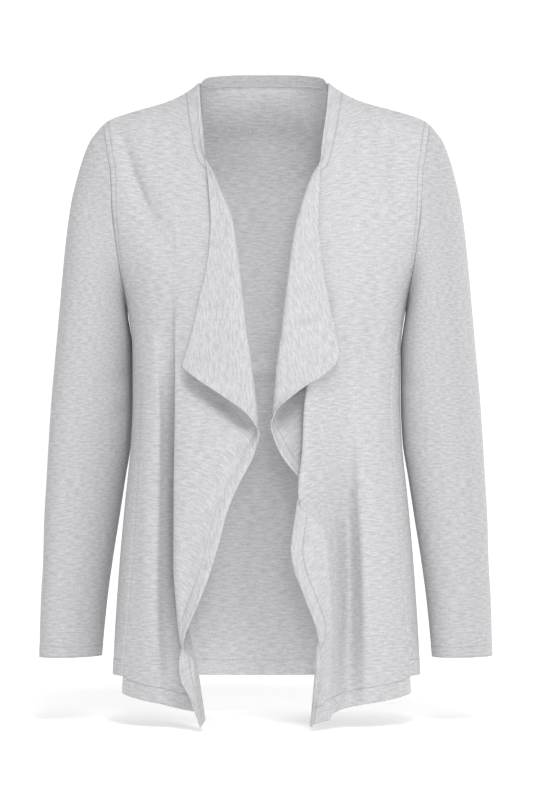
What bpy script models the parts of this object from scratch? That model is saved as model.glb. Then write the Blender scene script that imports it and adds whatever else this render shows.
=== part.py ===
"""Open drape-front jersey cardigan coat, filled out with no wearer, six sewn pieces.

Sizes are millimetres in the tables and metres in the meshes. The origin is the middle of
the shoulder line, +Z is up and the open front faces -Y. In the tables "down" is the drop
below the origin, "out" the distance sideways from the middle and "lift" how far a fold
stands in front of the general body form.
"""

import math

import bpy

COLLECTION_NAME = "cardigan_coat"
MM = 0.001

# Driving dimensions
WALL = 1.0
SEAM_GAP = 0.3
SEAM_HALF = 0.25
SEAM_TURN = 0.0035
ARMHOLE_TOP = 42.0
SHOULDER_TIP = 187.0
UNDERARM = 247.0
CUFF_DOWN = 649.0
BAND_HEIGHT = 11.5
NECK_HALF_RIGHT = 77.0
NECK_HALF_LEFT = 71.0
BACK_HEM_MIDDLE = 679.0
BACK_HEM_SEAM = 668.0
BACK_HEM_START = 590.0
SHOULDER_ROUNDING = 150.0
SECTION_POWER = 2.3

# Hem of a front: levels between which it forms, its rise at the side, the share of the
# width that the rise takes and how steeply it falls, and its slant over the whole width
FRONT_HEM_START = 540.0
FRONT_TIP = 718.0
FRONT_HEM_SIDE_RISE = 23.0
FRONT_HEM_SIDE_SHARE = 0.35
FRONT_HEM_SIDE_POWER = 0.8
FRONT_HEM_SLANT = 9.0

# Back neck: place of the seam front to back and in height, at its ends and its middle,
# powers of its round, and the depth below it that its curve reaches
NECK_Y = (9.0, 57.0)
NECK_Z = (-3.0, 8.0)
NECK_POWERS = (2.2, 0.55)
NECK_BLEND = 50.0

# Height of the shoulder line above the origin: out, height
SHOULDER_LINE = ((0, 80), (40, 45), (75, 8), (84, 0), (109, -14), (155, -28), (176, -35),
                 (187, -42), (205, -62))

# Armhole edge down to the underarm, then the side seam: down, out
SIDE_LINE = ((42, 187), (77, 181), (97, 177.5), (143, 175), (170, 172), (199, 168),
             (225, 163.5), (247, 160), (274, 156), (301, 153), (357, 152.5), (400, 154),
             (449, 158.5), (472, 161), (540, 167), (586, 170.5), (632, 173), (655, 175),
             (720, 177))

# Side seam, which lies forward of the outline below the underarm: down, out
SEAM_LINE = ((247, 160), (262, 155), (301, 145), (357, 140), (430, 143), (500, 148),
             (586, 155), (655, 161), (720, 164))

# General hollow form: down, half_width, front, back, side_y
TORSO = ((-90, 205, 60, 52, 4), (0, 205, 70, 62, 4), (60, 205, 84, 84, 6),
         (120, 200, 98, 96, 8), (180, 184, 108, 100, 6), (247, 160, 114, 98, 2),
         (301, 153, 110, 90, -2), (357, 152.5, 102, 84, -4), (400, 154, 100, 88, -6),
         (472, 161, 104, 98, -8), (540, 167, 108, 106, -12), (632, 173, 112, 112, -16),
         (720, 177, 114, 114, -18))

# Wearer's right front, lines down the panel: down, out, lift
RIGHT_FRONT = {
    "valley": ((-6, 128, 0), (70, 131, 0), (200, 124, 0), (232, 119, -1), (290, 114, -6),
               (335, 111, -11), (440, 110, -14), (560, 109, -14), (650, 107, -12),
               (718, 104, -8)),
    "tuck": ((-6, 106, 0), (70, 110, 0), (148, 107, 0), (232, 106, 0), (290, 103, -6),
             (335, 98, -12), (420, 95, -14), (500, 92, -14), (559, 88, -13), (590, 84, -11),
             (622, 79, -6), (660, 74, 2), (718, 68.5, 8)),
    "ridge": ((-6, 98, 0), (70, 101, 0), (148, 98, 0), (232, 99, 1), (290, 102, 5),
              (335, 102, 7), (463, 103.4, 9), (540, 103.4, 10), (591, 100, 11),
              (612, 98, 12), (629, 95.5, 13), (652, 81.4, 12), (671, 79.5, 13.5),
              (718, 70, 20)),
    "strip": ((-6, 91, 0), (70, 87, 1), (148, 70, 3), (232, 66, 6), (335, 60, 10),
              (380, 55, 13), (420, 65, 15), (455, 70, 15), (500, 79, 15), (559, 87, 14.5),
              (590, 91, 15), (621, 94.5, 16.5), (652, 87.4, 16.6), (671, 85, 17.8),
              (718, 71, 27.4)),
    "roll": ((-6, 84, 0), (50, 79, 1), (70, 74, 3), (96, 60, 7), (123, 49, 9), (148, 39, 10),
             (209, 30, 12), (279, 22, 13), (341, 13.5, 15), (380, 9.5, 17), (395, 11, 18),
             (414, 25, 17), (455, 48, 17.5), (500, 62, 17.5), (559, 76, 16.5),
             (590, 84, 17.5), (621, 92.5, 19.6), (652, 92.2, 20.3), (671, 89, 21.4),
             (718, 71.9, 33.2)),
    "edge": ((-6, 77, 0), (33, 74, 0), (55, 71.5, 3), (70, 70.5, 9), (96, 67, 9),
             (123, 64.5, 9), (160, 62.4, 9), (209, 67, 10), (243, 75, 11), (279, 83, 13),
             (300, 88.8, 14), (316, 94, 15), (320, 95, 15.5), (323, 91.5, 17), (338, 72, 22),
             (354, 47.6, 28), (368, 26.4, 31), (380, 15.4, 31), (395, 8.2, 29),
             (414, 12.4, 23), (455, 32.7, 19), (480, 43, 18), (518, 53.2, 18), (559, 66, 18),
             (584, 76, 19), (601, 83.5, 20), (621, 91, 22), (652, 97, 24), (671, 93.5, 25),
             (682, 87, 27), (706, 78, 33), (718, 72.7, 39)),
}
RIGHT_FOLDS = {"tuck": 1, "ridge": 1, "roll": 1}

# Wearer's left front, lines down the panel: down, out, lift
LEFT_FRONT = {
    "valley": ((-6, 124, 0), (70, 126, 0), (200, 118, 0), (300, 94, -2), (380, 90, -8),
               (470, 86, -16), (560, 83, -19), (650, 84, -18), (718, 85, -12)),
    "tuck": ((-6, 101, 0), (70, 104, 0), (148, 96, 0), (232, 84, 2), (300, 57, 8),
             (330, 47, 12), (365, 42, 14), (411, 40, 15), (435, 37.5, 15), (446, 35.8, 14.5),
             (460, 35, 14), (474, 46, 13), (503, 62, 7), (565, 69, 4), (605, 74.5, 0),
             (636, 73, 2), (678, 71, 4), (718, 70, 6)),
    "ridge": ((-6, 94, 0), (70, 96, 0), (148, 86, 0), (232, 74, 1), (300, 56, 1),
              (330, 57, 1), (365, 54, 0), (411, 51, 0), (435, 49, 0), (446, 45.5, 2),
              (460, 45, 3.5), (474, 43, 14), (503, 53, 12.5), (565, 60, 12), (605, 69, 9),
              (636, 66, 11), (678, 64, 12), (718, 61, 14)),
    "strip": ((-6, 86, 0), (70, 80, 1), (148, 62, 3), (232, 48, 5), (300, 38, 4),
              (365, 28, 3), (411, 33, 3), (435, 41, 3.5), (446, 42.5, 3.2), (460, 43.7, 4.2),
              (474, 40, 14), (503, 45, 14), (565, 52, 14), (605, 64, 13), (636, 61, 15),
              (678, 58, 17), (718, 54, 20)),
    "roll": ((-6, 78, 0), (50, 72, 1), (79, 64.5, 4), (96, 53, 7), (118, 44, 9), (139, 38, 10),
             (158, 33, 10), (185, 28.4, 11), (246, 20.6, 12), (279, 17, 12), (312, 12, 12),
             (348, 8.6, 12), (375, 6.4, 12), (388, 8, 12), (411, 21, 8), (435, 35, 6.5),
             (446, 39.8, 4.6), (460, 42.4, 5.1), (474, 36.5, 13.5), (503, 37, 15), (523, 34, 15),
             (565, 45, 15.5), (605, 59, 16), (620, 58.5, 17), (636, 55.3, 18),
             (651, 54.3, 19.5), (678, 52.4, 21), (709, 49.4, 26), (718, 48.4, 28)),
    "edge": ((-6, 71, 0), (29, 68, 0), (56, 64, 3), (79, 61.5, 9), (121, 59.2, 9),
             (170, 58, 9), (189, 60.8, 9), (226, 66, 10), (265, 73.4, 12), (298, 81, 14),
             (305, 82, 14.5), (308, 81.5, 15), (318, 76.5, 16), (333, 59, 20), (342, 44, 23),
             (353, 27.8, 26), (363, 15.5, 26), (371, 9.6, 25), (387, 4.9, 22), (398, 7.6, 17),
             (412, 13, 13), (424, 20, 10), (435, 29, 9), (446, 37, 6.5), (460, 41, 6),
             (474, 33, 13), (503, 29.5, 15), (523, 27.3, 15), (546, 31, 15), (565, 38.2, 16),
             (589, 47.4, 17), (605, 53.6, 18), (620, 57.3, 21), (636, 60.4, 25), (651, 61, 27),
             (668, 59.6, 28), (687, 54.9, 30), (700, 52.4, 31), (718, 50.4, 34)),
}
LEFT_FOLDS = {"tuck": -1, "ridge": -1, "roll": 1}

# Fold radius at each line, the distance over which a fold sharpens, its largest share of
# the way to the next line, and the cloth's bulge between the roll and the free edge
FOLD_RADIUS = 3.4
FOLD_REACH = 7.0
FOLD_SHARE = 0.42
EDGE_BULGE = 1.0

# Columns from the side to the valley, crowded towards the side, and steps of the folds
SIDE_COLUMNS = 6
SIDE_POWER = 1.8
VALLEY_WIDTH = 0.3
SPLINE_STEPS = 2

# Rows of the fronts and the back: last level, number of rows down to it
FRONT_ROWS = ((70, 5), (320, 9), (395, 4), (445, 2), (475, 2), (652, 6), (FRONT_TIP, 3))
TOP_LEVEL = -6.0

# Sleeve: share of the way down, half depth front to back, middle line y
SLEEVE_DEPTH = ((0.0, 56, 7), (0.12, 54, 8), (0.3, 50, 8), (0.5, 45, 5), (0.75, 40, -3),
                (1.0, 35, -12))
# Outer line of the sleeve: down, out
SLEEVE_OUTER = ((42, 187), (60, 201), (82, 210), (105, 216.5), (128, 222), (174, 228.5),
                (220, 233), (266, 237), (311, 241), (357, 245), (403, 248), (449, 250.5),
                (495, 253), (540, 254), (586, 256.5), (649, 258))
# Inner line of the sleeve: down, out
SLEEVE_INNER = ((247, 160), (262, 160), (274, 158), (301, 155), (357, 154.5), (403, 156),
                (449, 163), (495, 170), (540, 177), (586, 183), (649, 189))
SLEEVE_ROWS = 16
SLEEVE_ROW_POWER = 1.2
SLEEVE_COLUMNS = 18

# Gap between the armhole and the sleeve outwards and down, and the share of the sleeve
# that takes the armhole's form
SLEEVE_START = (1.4, 0.7)
SLEEVE_HEAD = 0.22

HALF_TURN_LIMIT = math.pi / 2.0 - 1e-6
BACK_SIDE_COLUMNS = 6
BACK_NECK_COLUMNS = 4
BAND_ROWS = 2
BAND_REACH = 0.93
BAND_END = 0.985
BAND_TAPER = 0.8
BAND_LEAN = 0.2

# Colour of the grey melange, roughness, metallic
JERSEY = ((0.62, 0.62, 0.63, 1.0), 0.9, 0.0)


def between(low, high, share):
    """Point at a share of the way from low to high."""
    return low + (high - low) * share


def smooth(value):
    """Ease from 0 to 1 with flat ends."""
    value = min(max(value, 0.0), 1.0)
    return value * value * (3.0 - 2.0 * value)


def table_value(rows, at, column=1):
    """Read a column of a table at a place between its rows, on a curve with no overshoot."""
    if at <= rows[0][0]:
        return rows[0][column]
    if at >= rows[-1][0]:
        return rows[-1][column]
    count = len(rows)
    index = max(i for i in range(count - 1) if rows[i][0] <= at)
    steps = [rows[i + 1][0] - rows[i][0] for i in range(count - 1)]
    slopes = [(rows[i + 1][column] - rows[i][column]) / steps[i] for i in range(count - 1)]

    def tangent(i):
        if i == 0:
            return slopes[0]
        if i == count - 1:
            return slopes[-1]
        if slopes[i - 1] * slopes[i] <= 0.0:
            return 0.0
        weight_a = 2 * steps[i] + steps[i - 1]
        weight_b = steps[i] + 2 * steps[i - 1]
        return (weight_a + weight_b) / (weight_a / slopes[i - 1] + weight_b / slopes[i])

    width = steps[index]
    t = (at - rows[index][0]) / width
    start, end = rows[index][column], rows[index + 1][column]
    return ((1 + 2 * t) * (1 - t) ** 2 * start + t * (1 - t) ** 2 * width * tangent(index)
            + t * t * (3 - 2 * t) * end + t * t * (t - 1) * width * tangent(index + 1))


def neck_half(x):
    """Half width of the neck on the side that x lies."""
    return NECK_HALF_RIGHT if x < 0 else NECK_HALF_LEFT


def shoulder_height(x):
    """Height of the shoulder line at a place across the garment."""
    half = neck_half(x)
    if abs(x) < half:
        return table_value(SHOULDER_LINE, abs(x) * NECK_HALF_RIGHT / half)
    share = (abs(x) - half) / (SHOULDER_TIP - half)
    return table_value(SHOULDER_LINE, between(NECK_HALF_RIGHT, SHOULDER_TIP, share))


def rounding(x, down):
    """How far the form has come forward from the shoulder line, 0 to 1."""
    drop = shoulder_height(x) + down
    share = min(max(drop / SHOULDER_ROUNDING, 0.0), 1.0)
    return math.sqrt(1.0 - (1.0 - share) ** 2)


def section(x, down, column):
    """Depth of the hollow form from its side line, in front (2) or behind (3)."""
    half_width = table_value(TORSO, down, 1)
    ratio = min(abs(x) / half_width, 1.0)
    fullness = (1.0 - ratio ** SECTION_POWER) ** (1.0 / SECTION_POWER)
    return table_value(TORSO, down, column) * fullness * rounding(x, down)


def side_y(down):
    """Place of the side line, front to back."""
    return table_value(TORSO, down, 4)


def front_y(x, down):
    """Front surface of the hollow form."""
    return side_y(down) - section(x, down, 2)


def back_y(x, down):
    """Back surface of the hollow form."""
    return side_y(down) + section(x, down, 3)


def fold_points(line, before, after, direction):
    """Three points round a fold, which lie in line where the cloth isn't folded."""
    out, lift = line
    toward_before = min(max((before[0] - out) / FOLD_REACH, -1.0), 1.0)
    toward_after = min(max((after[0] - out) / FOLD_REACH, -1.0), 1.0)
    folded = max(0.0, toward_before * toward_after) * direction * FOLD_RADIUS
    points = []
    for neighbour, shift in ((before, -folded), (after, folded)):
        step = min(FOLD_RADIUS / max(math.dist(line, neighbour), FOLD_RADIUS), FOLD_SHARE)
        points.append((between(out, neighbour[0], step),
                       between(lift, neighbour[1], step) + shift))
    return [points[0], line, points[1]]


def curve_through(points, steps):
    """Points on a smooth curve through the given ones, with steps to each stretch."""
    result = []
    last = len(points) - 1
    for i in range(last):
        before = points[max(i - 1, 0)]
        start, end = points[i], points[i + 1]
        after = points[min(i + 2, last)]
        gaps = [max(math.dist(a, b), 0.01) ** 0.5
                for a, b in ((before, start), (start, end), (end, after))]
        for step in range(steps):
            t = step / steps
            point = []
            for axis in range(len(start)):
                slope = (end[axis] - start[axis]) / gaps[1]
                leave = slope
                if i > 0:
                    leave = ((start[axis] - before[axis]) / gaps[0]
                             - (end[axis] - before[axis]) / (gaps[0] + gaps[1]) + slope)
                arrive = slope
                if i + 1 < last:
                    arrive = (slope - (after[axis] - start[axis]) / (gaps[1] + gaps[2])
                              + (after[axis] - end[axis]) / gaps[2])
                leave *= gaps[1]
                arrive *= gaps[1]
                point.append((2 * t ** 3 - 3 * t * t + 1) * start[axis]
                             + (t ** 3 - 2 * t * t + t) * leave
                             + (3 * t * t - 2 * t ** 3) * end[axis]
                             + (t ** 3 - t * t) * arrive)
            result.append(tuple(point))
    result.append(tuple(points[-1]))
    return result


def row_levels():
    """Levels of the rows at the free edges, close together at the rounded shoulder."""
    levels = [TOP_LEVEL]
    start = TOP_LEVEL
    for end, count in FRONT_ROWS:
        for step in range(1, count + 1):
            share = step / count
            if start == TOP_LEVEL:
                share *= share
            levels.append(between(start, end, share))
        start = end
    return levels


def side_level(level):
    """Level at which a row meets the armhole or the side seam."""
    return level + side_drop(level) - hem_rise(level, 0.0)


def side_drop(level):
    """How far the armhole edge of a row lies below its free edge."""
    return (ARMHOLE_TOP - TOP_LEVEL) * (1.0 - smooth((level - TOP_LEVEL) / UNDERARM))


def hem_rise(level, share):
    """How far a row near the hem stands above its free edge, at a share from the side."""
    near_side = max(0.0, 1.0 - share / FRONT_HEM_SIDE_SHARE) ** FRONT_HEM_SIDE_POWER
    rise = FRONT_HEM_SIDE_RISE * near_side + FRONT_HEM_SLANT * (1.0 - share)
    return rise * smooth((level - FRONT_HEM_START) / (FRONT_TIP - FRONT_HEM_START))


def side_turn(down):
    """Angle of the side edge on the section: behind the side over 0, in front below 0."""
    half_width = table_value(TORSO, down, 1)
    if down <= UNDERARM:
        ratio = min(table_value(SIDE_LINE, down) / half_width, 1.0)
        return math.acos(ratio ** (SECTION_POWER / 2.0))
    ratio = min(table_value(SEAM_LINE, down) / half_width, 1.0)
    return -math.acos(ratio ** (SECTION_POWER / 2.0))


def turn_out(turn, down):
    """Distance from the middle at an angle of the section."""
    return table_value(TORSO, down, 1) * math.cos(turn) ** (2.0 / SECTION_POWER)


def front_row(lines, folds, level):
    """Points of one row of a front, from the side to the free edge: out, down, lift."""
    names = ("valley", "tuck", "ridge", "strip", "roll", "edge")
    place = {name: (table_value(lines[name], level, 1), table_value(lines[name], level, 2))
             for name in names}
    side_down = side_level(level)
    if side_down <= UNDERARM:
        side_out = table_value(SIDE_LINE, side_down)
    else:
        side_out = turn_out(side_turn(side_down) - SEAM_TURN, side_down)
    valley_out, valley_lift = place["valley"]
    row = []
    for step in range(SIDE_COLUMNS):
        share = step / SIDE_COLUMNS
        row.append((between(side_out, valley_out, share ** SIDE_POWER),
                    valley_lift * smooth((share - 1.0) / VALLEY_WIDTH + 1.0)))
    knots = [row[-1], place["valley"]]
    for index in range(1, 5):
        name = names[index]
        if name in folds:
            knots += fold_points(place[name], place[names[index - 1]],
                                 place[names[index + 1]], folds[name])
        else:
            knots.append(place[name])
    roll, edge = place["roll"], place["edge"]
    knots.append((between(roll[0], edge[0], 0.6),
                  between(roll[1], edge[1], 0.6) + EDGE_BULGE))
    knots.append(edge)
    fold_part = curve_through(knots, SPLINE_STEPS)
    row += fold_part[SPLINE_STEPS:]
    total = len(row) - 1
    points = []
    for index, (out, lift) in enumerate(row):
        share = index / total
        down = level + side_drop(level) * (1.0 - share) - hem_rise(level, share)
        points.append((out, down, lift))
    return points


def new_piece(name, rows, closed=False):
    """Cloth piece of even wall thickness from a grid of points in millimetres."""
    columns = len(rows[0])
    vertices = [tuple(value * MM for value in point) for row in rows for point in row]
    faces = []
    spans = columns if closed else columns - 1
    for row in range(len(rows) - 1):
        for column in range(spans):
            right = (column + 1) % columns
            faces.append((row * columns + column, (row + 1) * columns + column,
                          (row + 1) * columns + right, row * columns + right))
    mesh = bpy.data.meshes.new(name)
    mesh.from_pydata(vertices, [], faces)
    mesh.validate()
    piece = bpy.data.objects.new(name, mesh)
    bpy.data.collections[COLLECTION_NAME].objects.link(piece)
    wall = piece.modifiers.new("wall", "SOLIDIFY")
    wall.thickness = WALL * MM
    wall.offset = 0.0
    wall.use_even_offset = False
    mesh.materials.append(jersey_material(name))
    mesh.shade_smooth()
    return piece


def jersey_material(name):
    """Matt grey jersey for one piece."""
    colour, roughness, metallic = JERSEY
    material = bpy.data.materials.new(name + "_jersey")
    material.use_nodes = True
    shader = material.node_tree.nodes["Principled BSDF"]
    shader.inputs["Base Color"].default_value = colour
    shader.inputs["Roughness"].default_value = roughness
    shader.inputs["Metallic"].default_value = metallic
    return material


def front_panel(name, lines, folds, sign):
    """One front, from the shoulder seam, armhole and side seam to its cascading edge."""
    rows = []
    for index, level in enumerate(row_levels()):
        row = []
        for out, down, lift in front_row(lines, folds, level):
            x = sign * out
            if index == 0:
                down = -shoulder_height(x)
                lift = SEAM_HALF
            row.append((x, front_y(x, down) - lift, -down))
        if sign > 0:
            row.reverse()
        rows.append(row)
    return new_piece(name, rows)


def neck_line(share):
    """Seam between the back and its neck band at -1 to 1 across the neck: x, y, z."""
    half = neck_half(share)
    rise = 1.0 - share * share
    y = between(*NECK_Y, (1.0 - abs(share) ** NECK_POWERS[0]) ** NECK_POWERS[1])
    return share * half, y, between(*NECK_Z, rise)


def back_top(x):
    """Top edge of the back at a distance from the middle: y, z."""
    half = neck_half(x)
    seam_y = side_y(-shoulder_height(x)) + SEAM_HALF
    if abs(x) >= half:
        return seam_y, shoulder_height(x)
    _, y, z = neck_line(x / half)
    step = smooth((half - abs(x)) / (half * (1.0 - BAND_REACH)))
    return between(seam_y, y, step), between(shoulder_height(x), z, step)


def back_columns(sign):
    """Shares from one side to the middle of the back, with one at the end of the neck."""
    half_width = table_value(TORSO, 0.0, 1)
    neck_turn = math.acos((neck_half(sign) / half_width) ** (SECTION_POWER / 2.0))
    start = side_turn(ARMHOLE_TOP)
    neck_share = (neck_turn - start) / (math.pi / 2.0 - start)
    corner_turn = math.acos((BAND_REACH * neck_half(sign) / half_width)
                            ** (SECTION_POWER / 2.0))
    corner_share = (corner_turn - start) / (math.pi / 2.0 - start)
    shares = [neck_share * (step / BACK_SIDE_COLUMNS)
              for step in range(BACK_SIDE_COLUMNS + 1)]
    shares += [between(corner_share, 1.0, step / BACK_NECK_COLUMNS)
               for step in range(BACK_NECK_COLUMNS + 1)]
    return shares


def back_half(sign, side_down, fall):
    """Points of one row of the back from one side to the middle."""
    points = []
    start = side_turn(side_down)
    if side_down > UNDERARM:
        start += SEAM_TURN
    for share in back_columns(sign):
        turn = between(start, math.pi / 2.0, share)
        x = sign * turn_out(min(turn, HALF_TURN_LIMIT), side_down)
        top_y, top_z = back_top(x)
        away = smooth(share)
        down = between(side_down, between(-top_z, BACK_HEM_MIDDLE, fall), away)
        y = front_y(x, down) if turn < 0.0 else back_y(x, down)
        if fall == 0.0:
            down = -top_z
            y = top_y
        else:
            hold = 1.0 - smooth((down + top_z) / NECK_BLEND)
            y += hold * (top_y - back_y(x, -top_z))
        points.append((x, y, -down))
    return points


def back_panel():
    """Back in one piece, from the shoulder seams and neck to the hem."""
    rows = []
    levels = row_levels()
    lowest = side_level(levels[-1])
    for level in levels:
        side_down = side_level(level)
        fall = (side_down - ARMHOLE_TOP) / (lowest - ARMHOLE_TOP)
        hem_share = smooth((side_down - BACK_HEM_START) / (lowest - BACK_HEM_START))
        side_down -= (lowest - BACK_HEM_SEAM) * hem_share
        row = back_half(-1, side_down, fall) + back_half(1, side_down, fall)[-2::-1]
        row.reverse()
        rows.append(row)
    return new_piece("back", rows)


def band_half(sign, height):
    """Points of one row of the band from its end to the middle."""
    points = []
    shares = back_columns(sign)[BACK_SIDE_COLUMNS + 1:]
    start = side_turn(ARMHOLE_TOP)
    for index, share in enumerate(shares):
        turn = between(start, math.pi / 2.0, share)
        across = sign * turn_out(min(turn, HALF_TURN_LIMIT), 0.0) / neck_half(sign)
        x, y, z = neck_line(across)
        if index == 0:
            end_x, end_y, end_z = neck_line(sign * BAND_END)
            end_height = max(height, BAND_HEIGHT * BAND_TAPER)
            points.append((end_x, end_y - BAND_LEAN * end_height, end_z + end_height))
        points.append((x, y - BAND_LEAN * height, z + height))
    return points


def neck_band():
    """Band that stands on the back neck seam between the two shoulder seams."""
    rows = []
    for index in range(BAND_ROWS + 1):
        height = SEAM_GAP * 2.0 + BAND_HEIGHT * index / BAND_ROWS
        rows.append(band_half(-1, height) + band_half(1, height)[-2::-1])
    return new_piece("neck_band", rows)


def armhole_point(turn):
    """Point of the armhole edge, 0 at the shoulder, half a turn at the underarm: out, y, z."""
    down = between(ARMHOLE_TOP, UNDERARM, (1.0 - math.cos(turn)) / 2.0)
    out = table_value(SIDE_LINE, down)
    y = front_y(-out, down) if turn <= math.pi else back_y(-out, down)
    return out, y, -down


def oval_point(share, turn):
    """Point of the sleeve's oval section at a share of the way down: out, y, z."""
    outer_down = between(ARMHOLE_TOP, CUFF_DOWN, share)
    inner_down = between(UNDERARM, CUFF_DOWN, share)
    outer = table_value(SLEEVE_OUTER, outer_down)
    inner = table_value(SLEEVE_INNER, inner_down)
    swing = (1.0 - math.cos(turn)) / 2.0
    depth = table_value(SLEEVE_DEPTH, share, 1)
    middle = table_value(SLEEVE_DEPTH, share, 2)
    return (between(outer, inner, swing), middle - depth * math.sin(turn),
            -between(outer_down, inner_down, swing))


def sleeve(name, sign):
    """One sleeve, an open tube from the armhole to the cuff."""
    rows = []
    for index in range(SLEEVE_ROWS + 1):
        share = (index / SLEEVE_ROWS) ** SLEEVE_ROW_POWER
        hold = 1.0 - smooth(share / SLEEVE_HEAD)
        row = []
        for column in range(SLEEVE_COLUMNS):
            turn = 2.0 * math.pi * column / SLEEVE_COLUMNS
            place = oval_point(share, turn)
            if hold > 0.0:
                edge = armhole_point(turn)
                oval = oval_point(0.0, turn)
                place = tuple(p + hold * (e - o) for p, e, o in zip(place, edge, oval))
            out, y, z = place
            row.append((sign * (out + SLEEVE_START[0] * hold), y, z - SLEEVE_START[1] * hold))
        if sign > 0:
            row.reverse()
        rows.append(row)
    return new_piece(name, rows, closed=True)


def clear_scene():
    """Remove what the file holds and make the collection of the coat."""
    for item in list(bpy.data.objects):
        bpy.data.objects.remove(item)
    collection = bpy.data.collections.new(COLLECTION_NAME)
    bpy.context.scene.collection.children.link(collection)


def main():
    """Build the six pieces."""
    clear_scene()
    back_panel()
    neck_band()
    front_panel("front_right", RIGHT_FRONT, RIGHT_FOLDS, -1)
    front_panel("front_left", LEFT_FRONT, LEFT_FOLDS, 1)
    sleeve("sleeve_right", -1)
    sleeve("sleeve_left", 1)


main()
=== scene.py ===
"""Open drape-front jersey cardigan coat: its looks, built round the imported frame.

The six cloth pieces follow the same hollow body form and the same fold lines as the solids
they stand for, on finer grids, as thin shells with soft creases, turned hems and stitching.
The tables are in millimetres: "down" is the drop below the origin, "out" the distance
sideways from the middle and "lift" how far a fold stands in front of the body form. Meshes
and everything else are in metres. The wearer's right is at -X and the open front faces -Y.
"""

from __future__ import annotations

import logging
import math
from dataclasses import dataclass, field
from enum import Enum
from typing import Iterable, Sequence

import bpy
import numpy as np
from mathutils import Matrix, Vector

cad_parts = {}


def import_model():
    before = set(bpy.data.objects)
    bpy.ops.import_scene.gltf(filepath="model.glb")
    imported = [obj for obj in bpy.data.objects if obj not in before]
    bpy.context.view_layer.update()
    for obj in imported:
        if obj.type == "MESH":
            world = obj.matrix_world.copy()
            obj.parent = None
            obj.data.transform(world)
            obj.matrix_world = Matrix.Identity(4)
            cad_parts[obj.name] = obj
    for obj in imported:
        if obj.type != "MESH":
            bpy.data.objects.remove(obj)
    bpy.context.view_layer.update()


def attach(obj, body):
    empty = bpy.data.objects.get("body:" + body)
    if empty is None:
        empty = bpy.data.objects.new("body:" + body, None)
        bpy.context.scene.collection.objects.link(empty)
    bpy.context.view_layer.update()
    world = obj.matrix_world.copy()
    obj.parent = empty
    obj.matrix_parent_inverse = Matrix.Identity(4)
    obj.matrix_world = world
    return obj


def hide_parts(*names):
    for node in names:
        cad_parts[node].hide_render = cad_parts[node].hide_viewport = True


LOG = logging.getLogger("cardigan_coat")

MM = 0.001
BODY = "root"


class Profile:
    """Smooth curve through the rows of a short table, with no overshoot.

    The first column of the table is the place along the curve and the others are values.
    """

    def __init__(self, rows: Sequence[Sequence[float]]) -> None:
        """Read the table and work out a slope at each row."""
        table = np.array(rows, dtype=float)
        self.places = table[:, 0]
        self.values = table[:, 1:]
        steps = np.diff(self.places)[:, None]
        slopes = np.diff(self.values, axis=0) / steps
        self.slopes = np.zeros_like(self.values)
        self.slopes[0], self.slopes[-1] = slopes[0], slopes[-1]
        before, after = slopes[:-1], slopes[1:]
        weight_before = 2.0 * steps[1:] + steps[:-1]
        weight_after = steps[1:] + 2.0 * steps[:-1]
        same_way = before * after > 0.0
        safe_before = np.where(same_way, before, 1.0)
        safe_after = np.where(same_way, after, 1.0)
        mean = (weight_before + weight_after) / (
            weight_before / safe_before + weight_after / safe_after)
        self.slopes[1:-1] = np.where(same_way, mean, 0.0)

    def at(self, place: np.ndarray | float, column: int = 1) -> np.ndarray:
        """Read a column at places along the curve.

        Args:
            place: Places along the first column; those past an end read the end's value.
            column: Number of the column, where 1 is the first after the place.

        Returns:
            The values, in the shape of place.
        """
        place = np.clip(place, self.places[0], self.places[-1])
        index = np.clip(np.searchsorted(self.places, place, side="right") - 1,
                        0, len(self.places) - 2)
        width = self.places[index + 1] - self.places[index]
        t = (place - self.places[index]) / width
        values, slopes = self.values[:, column - 1], self.slopes[:, column - 1]
        return ((1 + 2 * t) * (1 - t) ** 2 * values[index]
                + t * (1 - t) ** 2 * width * slopes[index]
                + t * t * (3 - 2 * t) * values[index + 1]
                + t * t * (t - 1) * width * slopes[index + 1])


def between(low, high, share):
    """Value at a share of the way from low to high."""
    return low + (high - low) * share


def smooth(value):
    """Ease from 0 to 1 with flat ends."""
    value = np.clip(value, 0.0, 1.0)
    return value * value * (3.0 - 2.0 * value)


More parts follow.
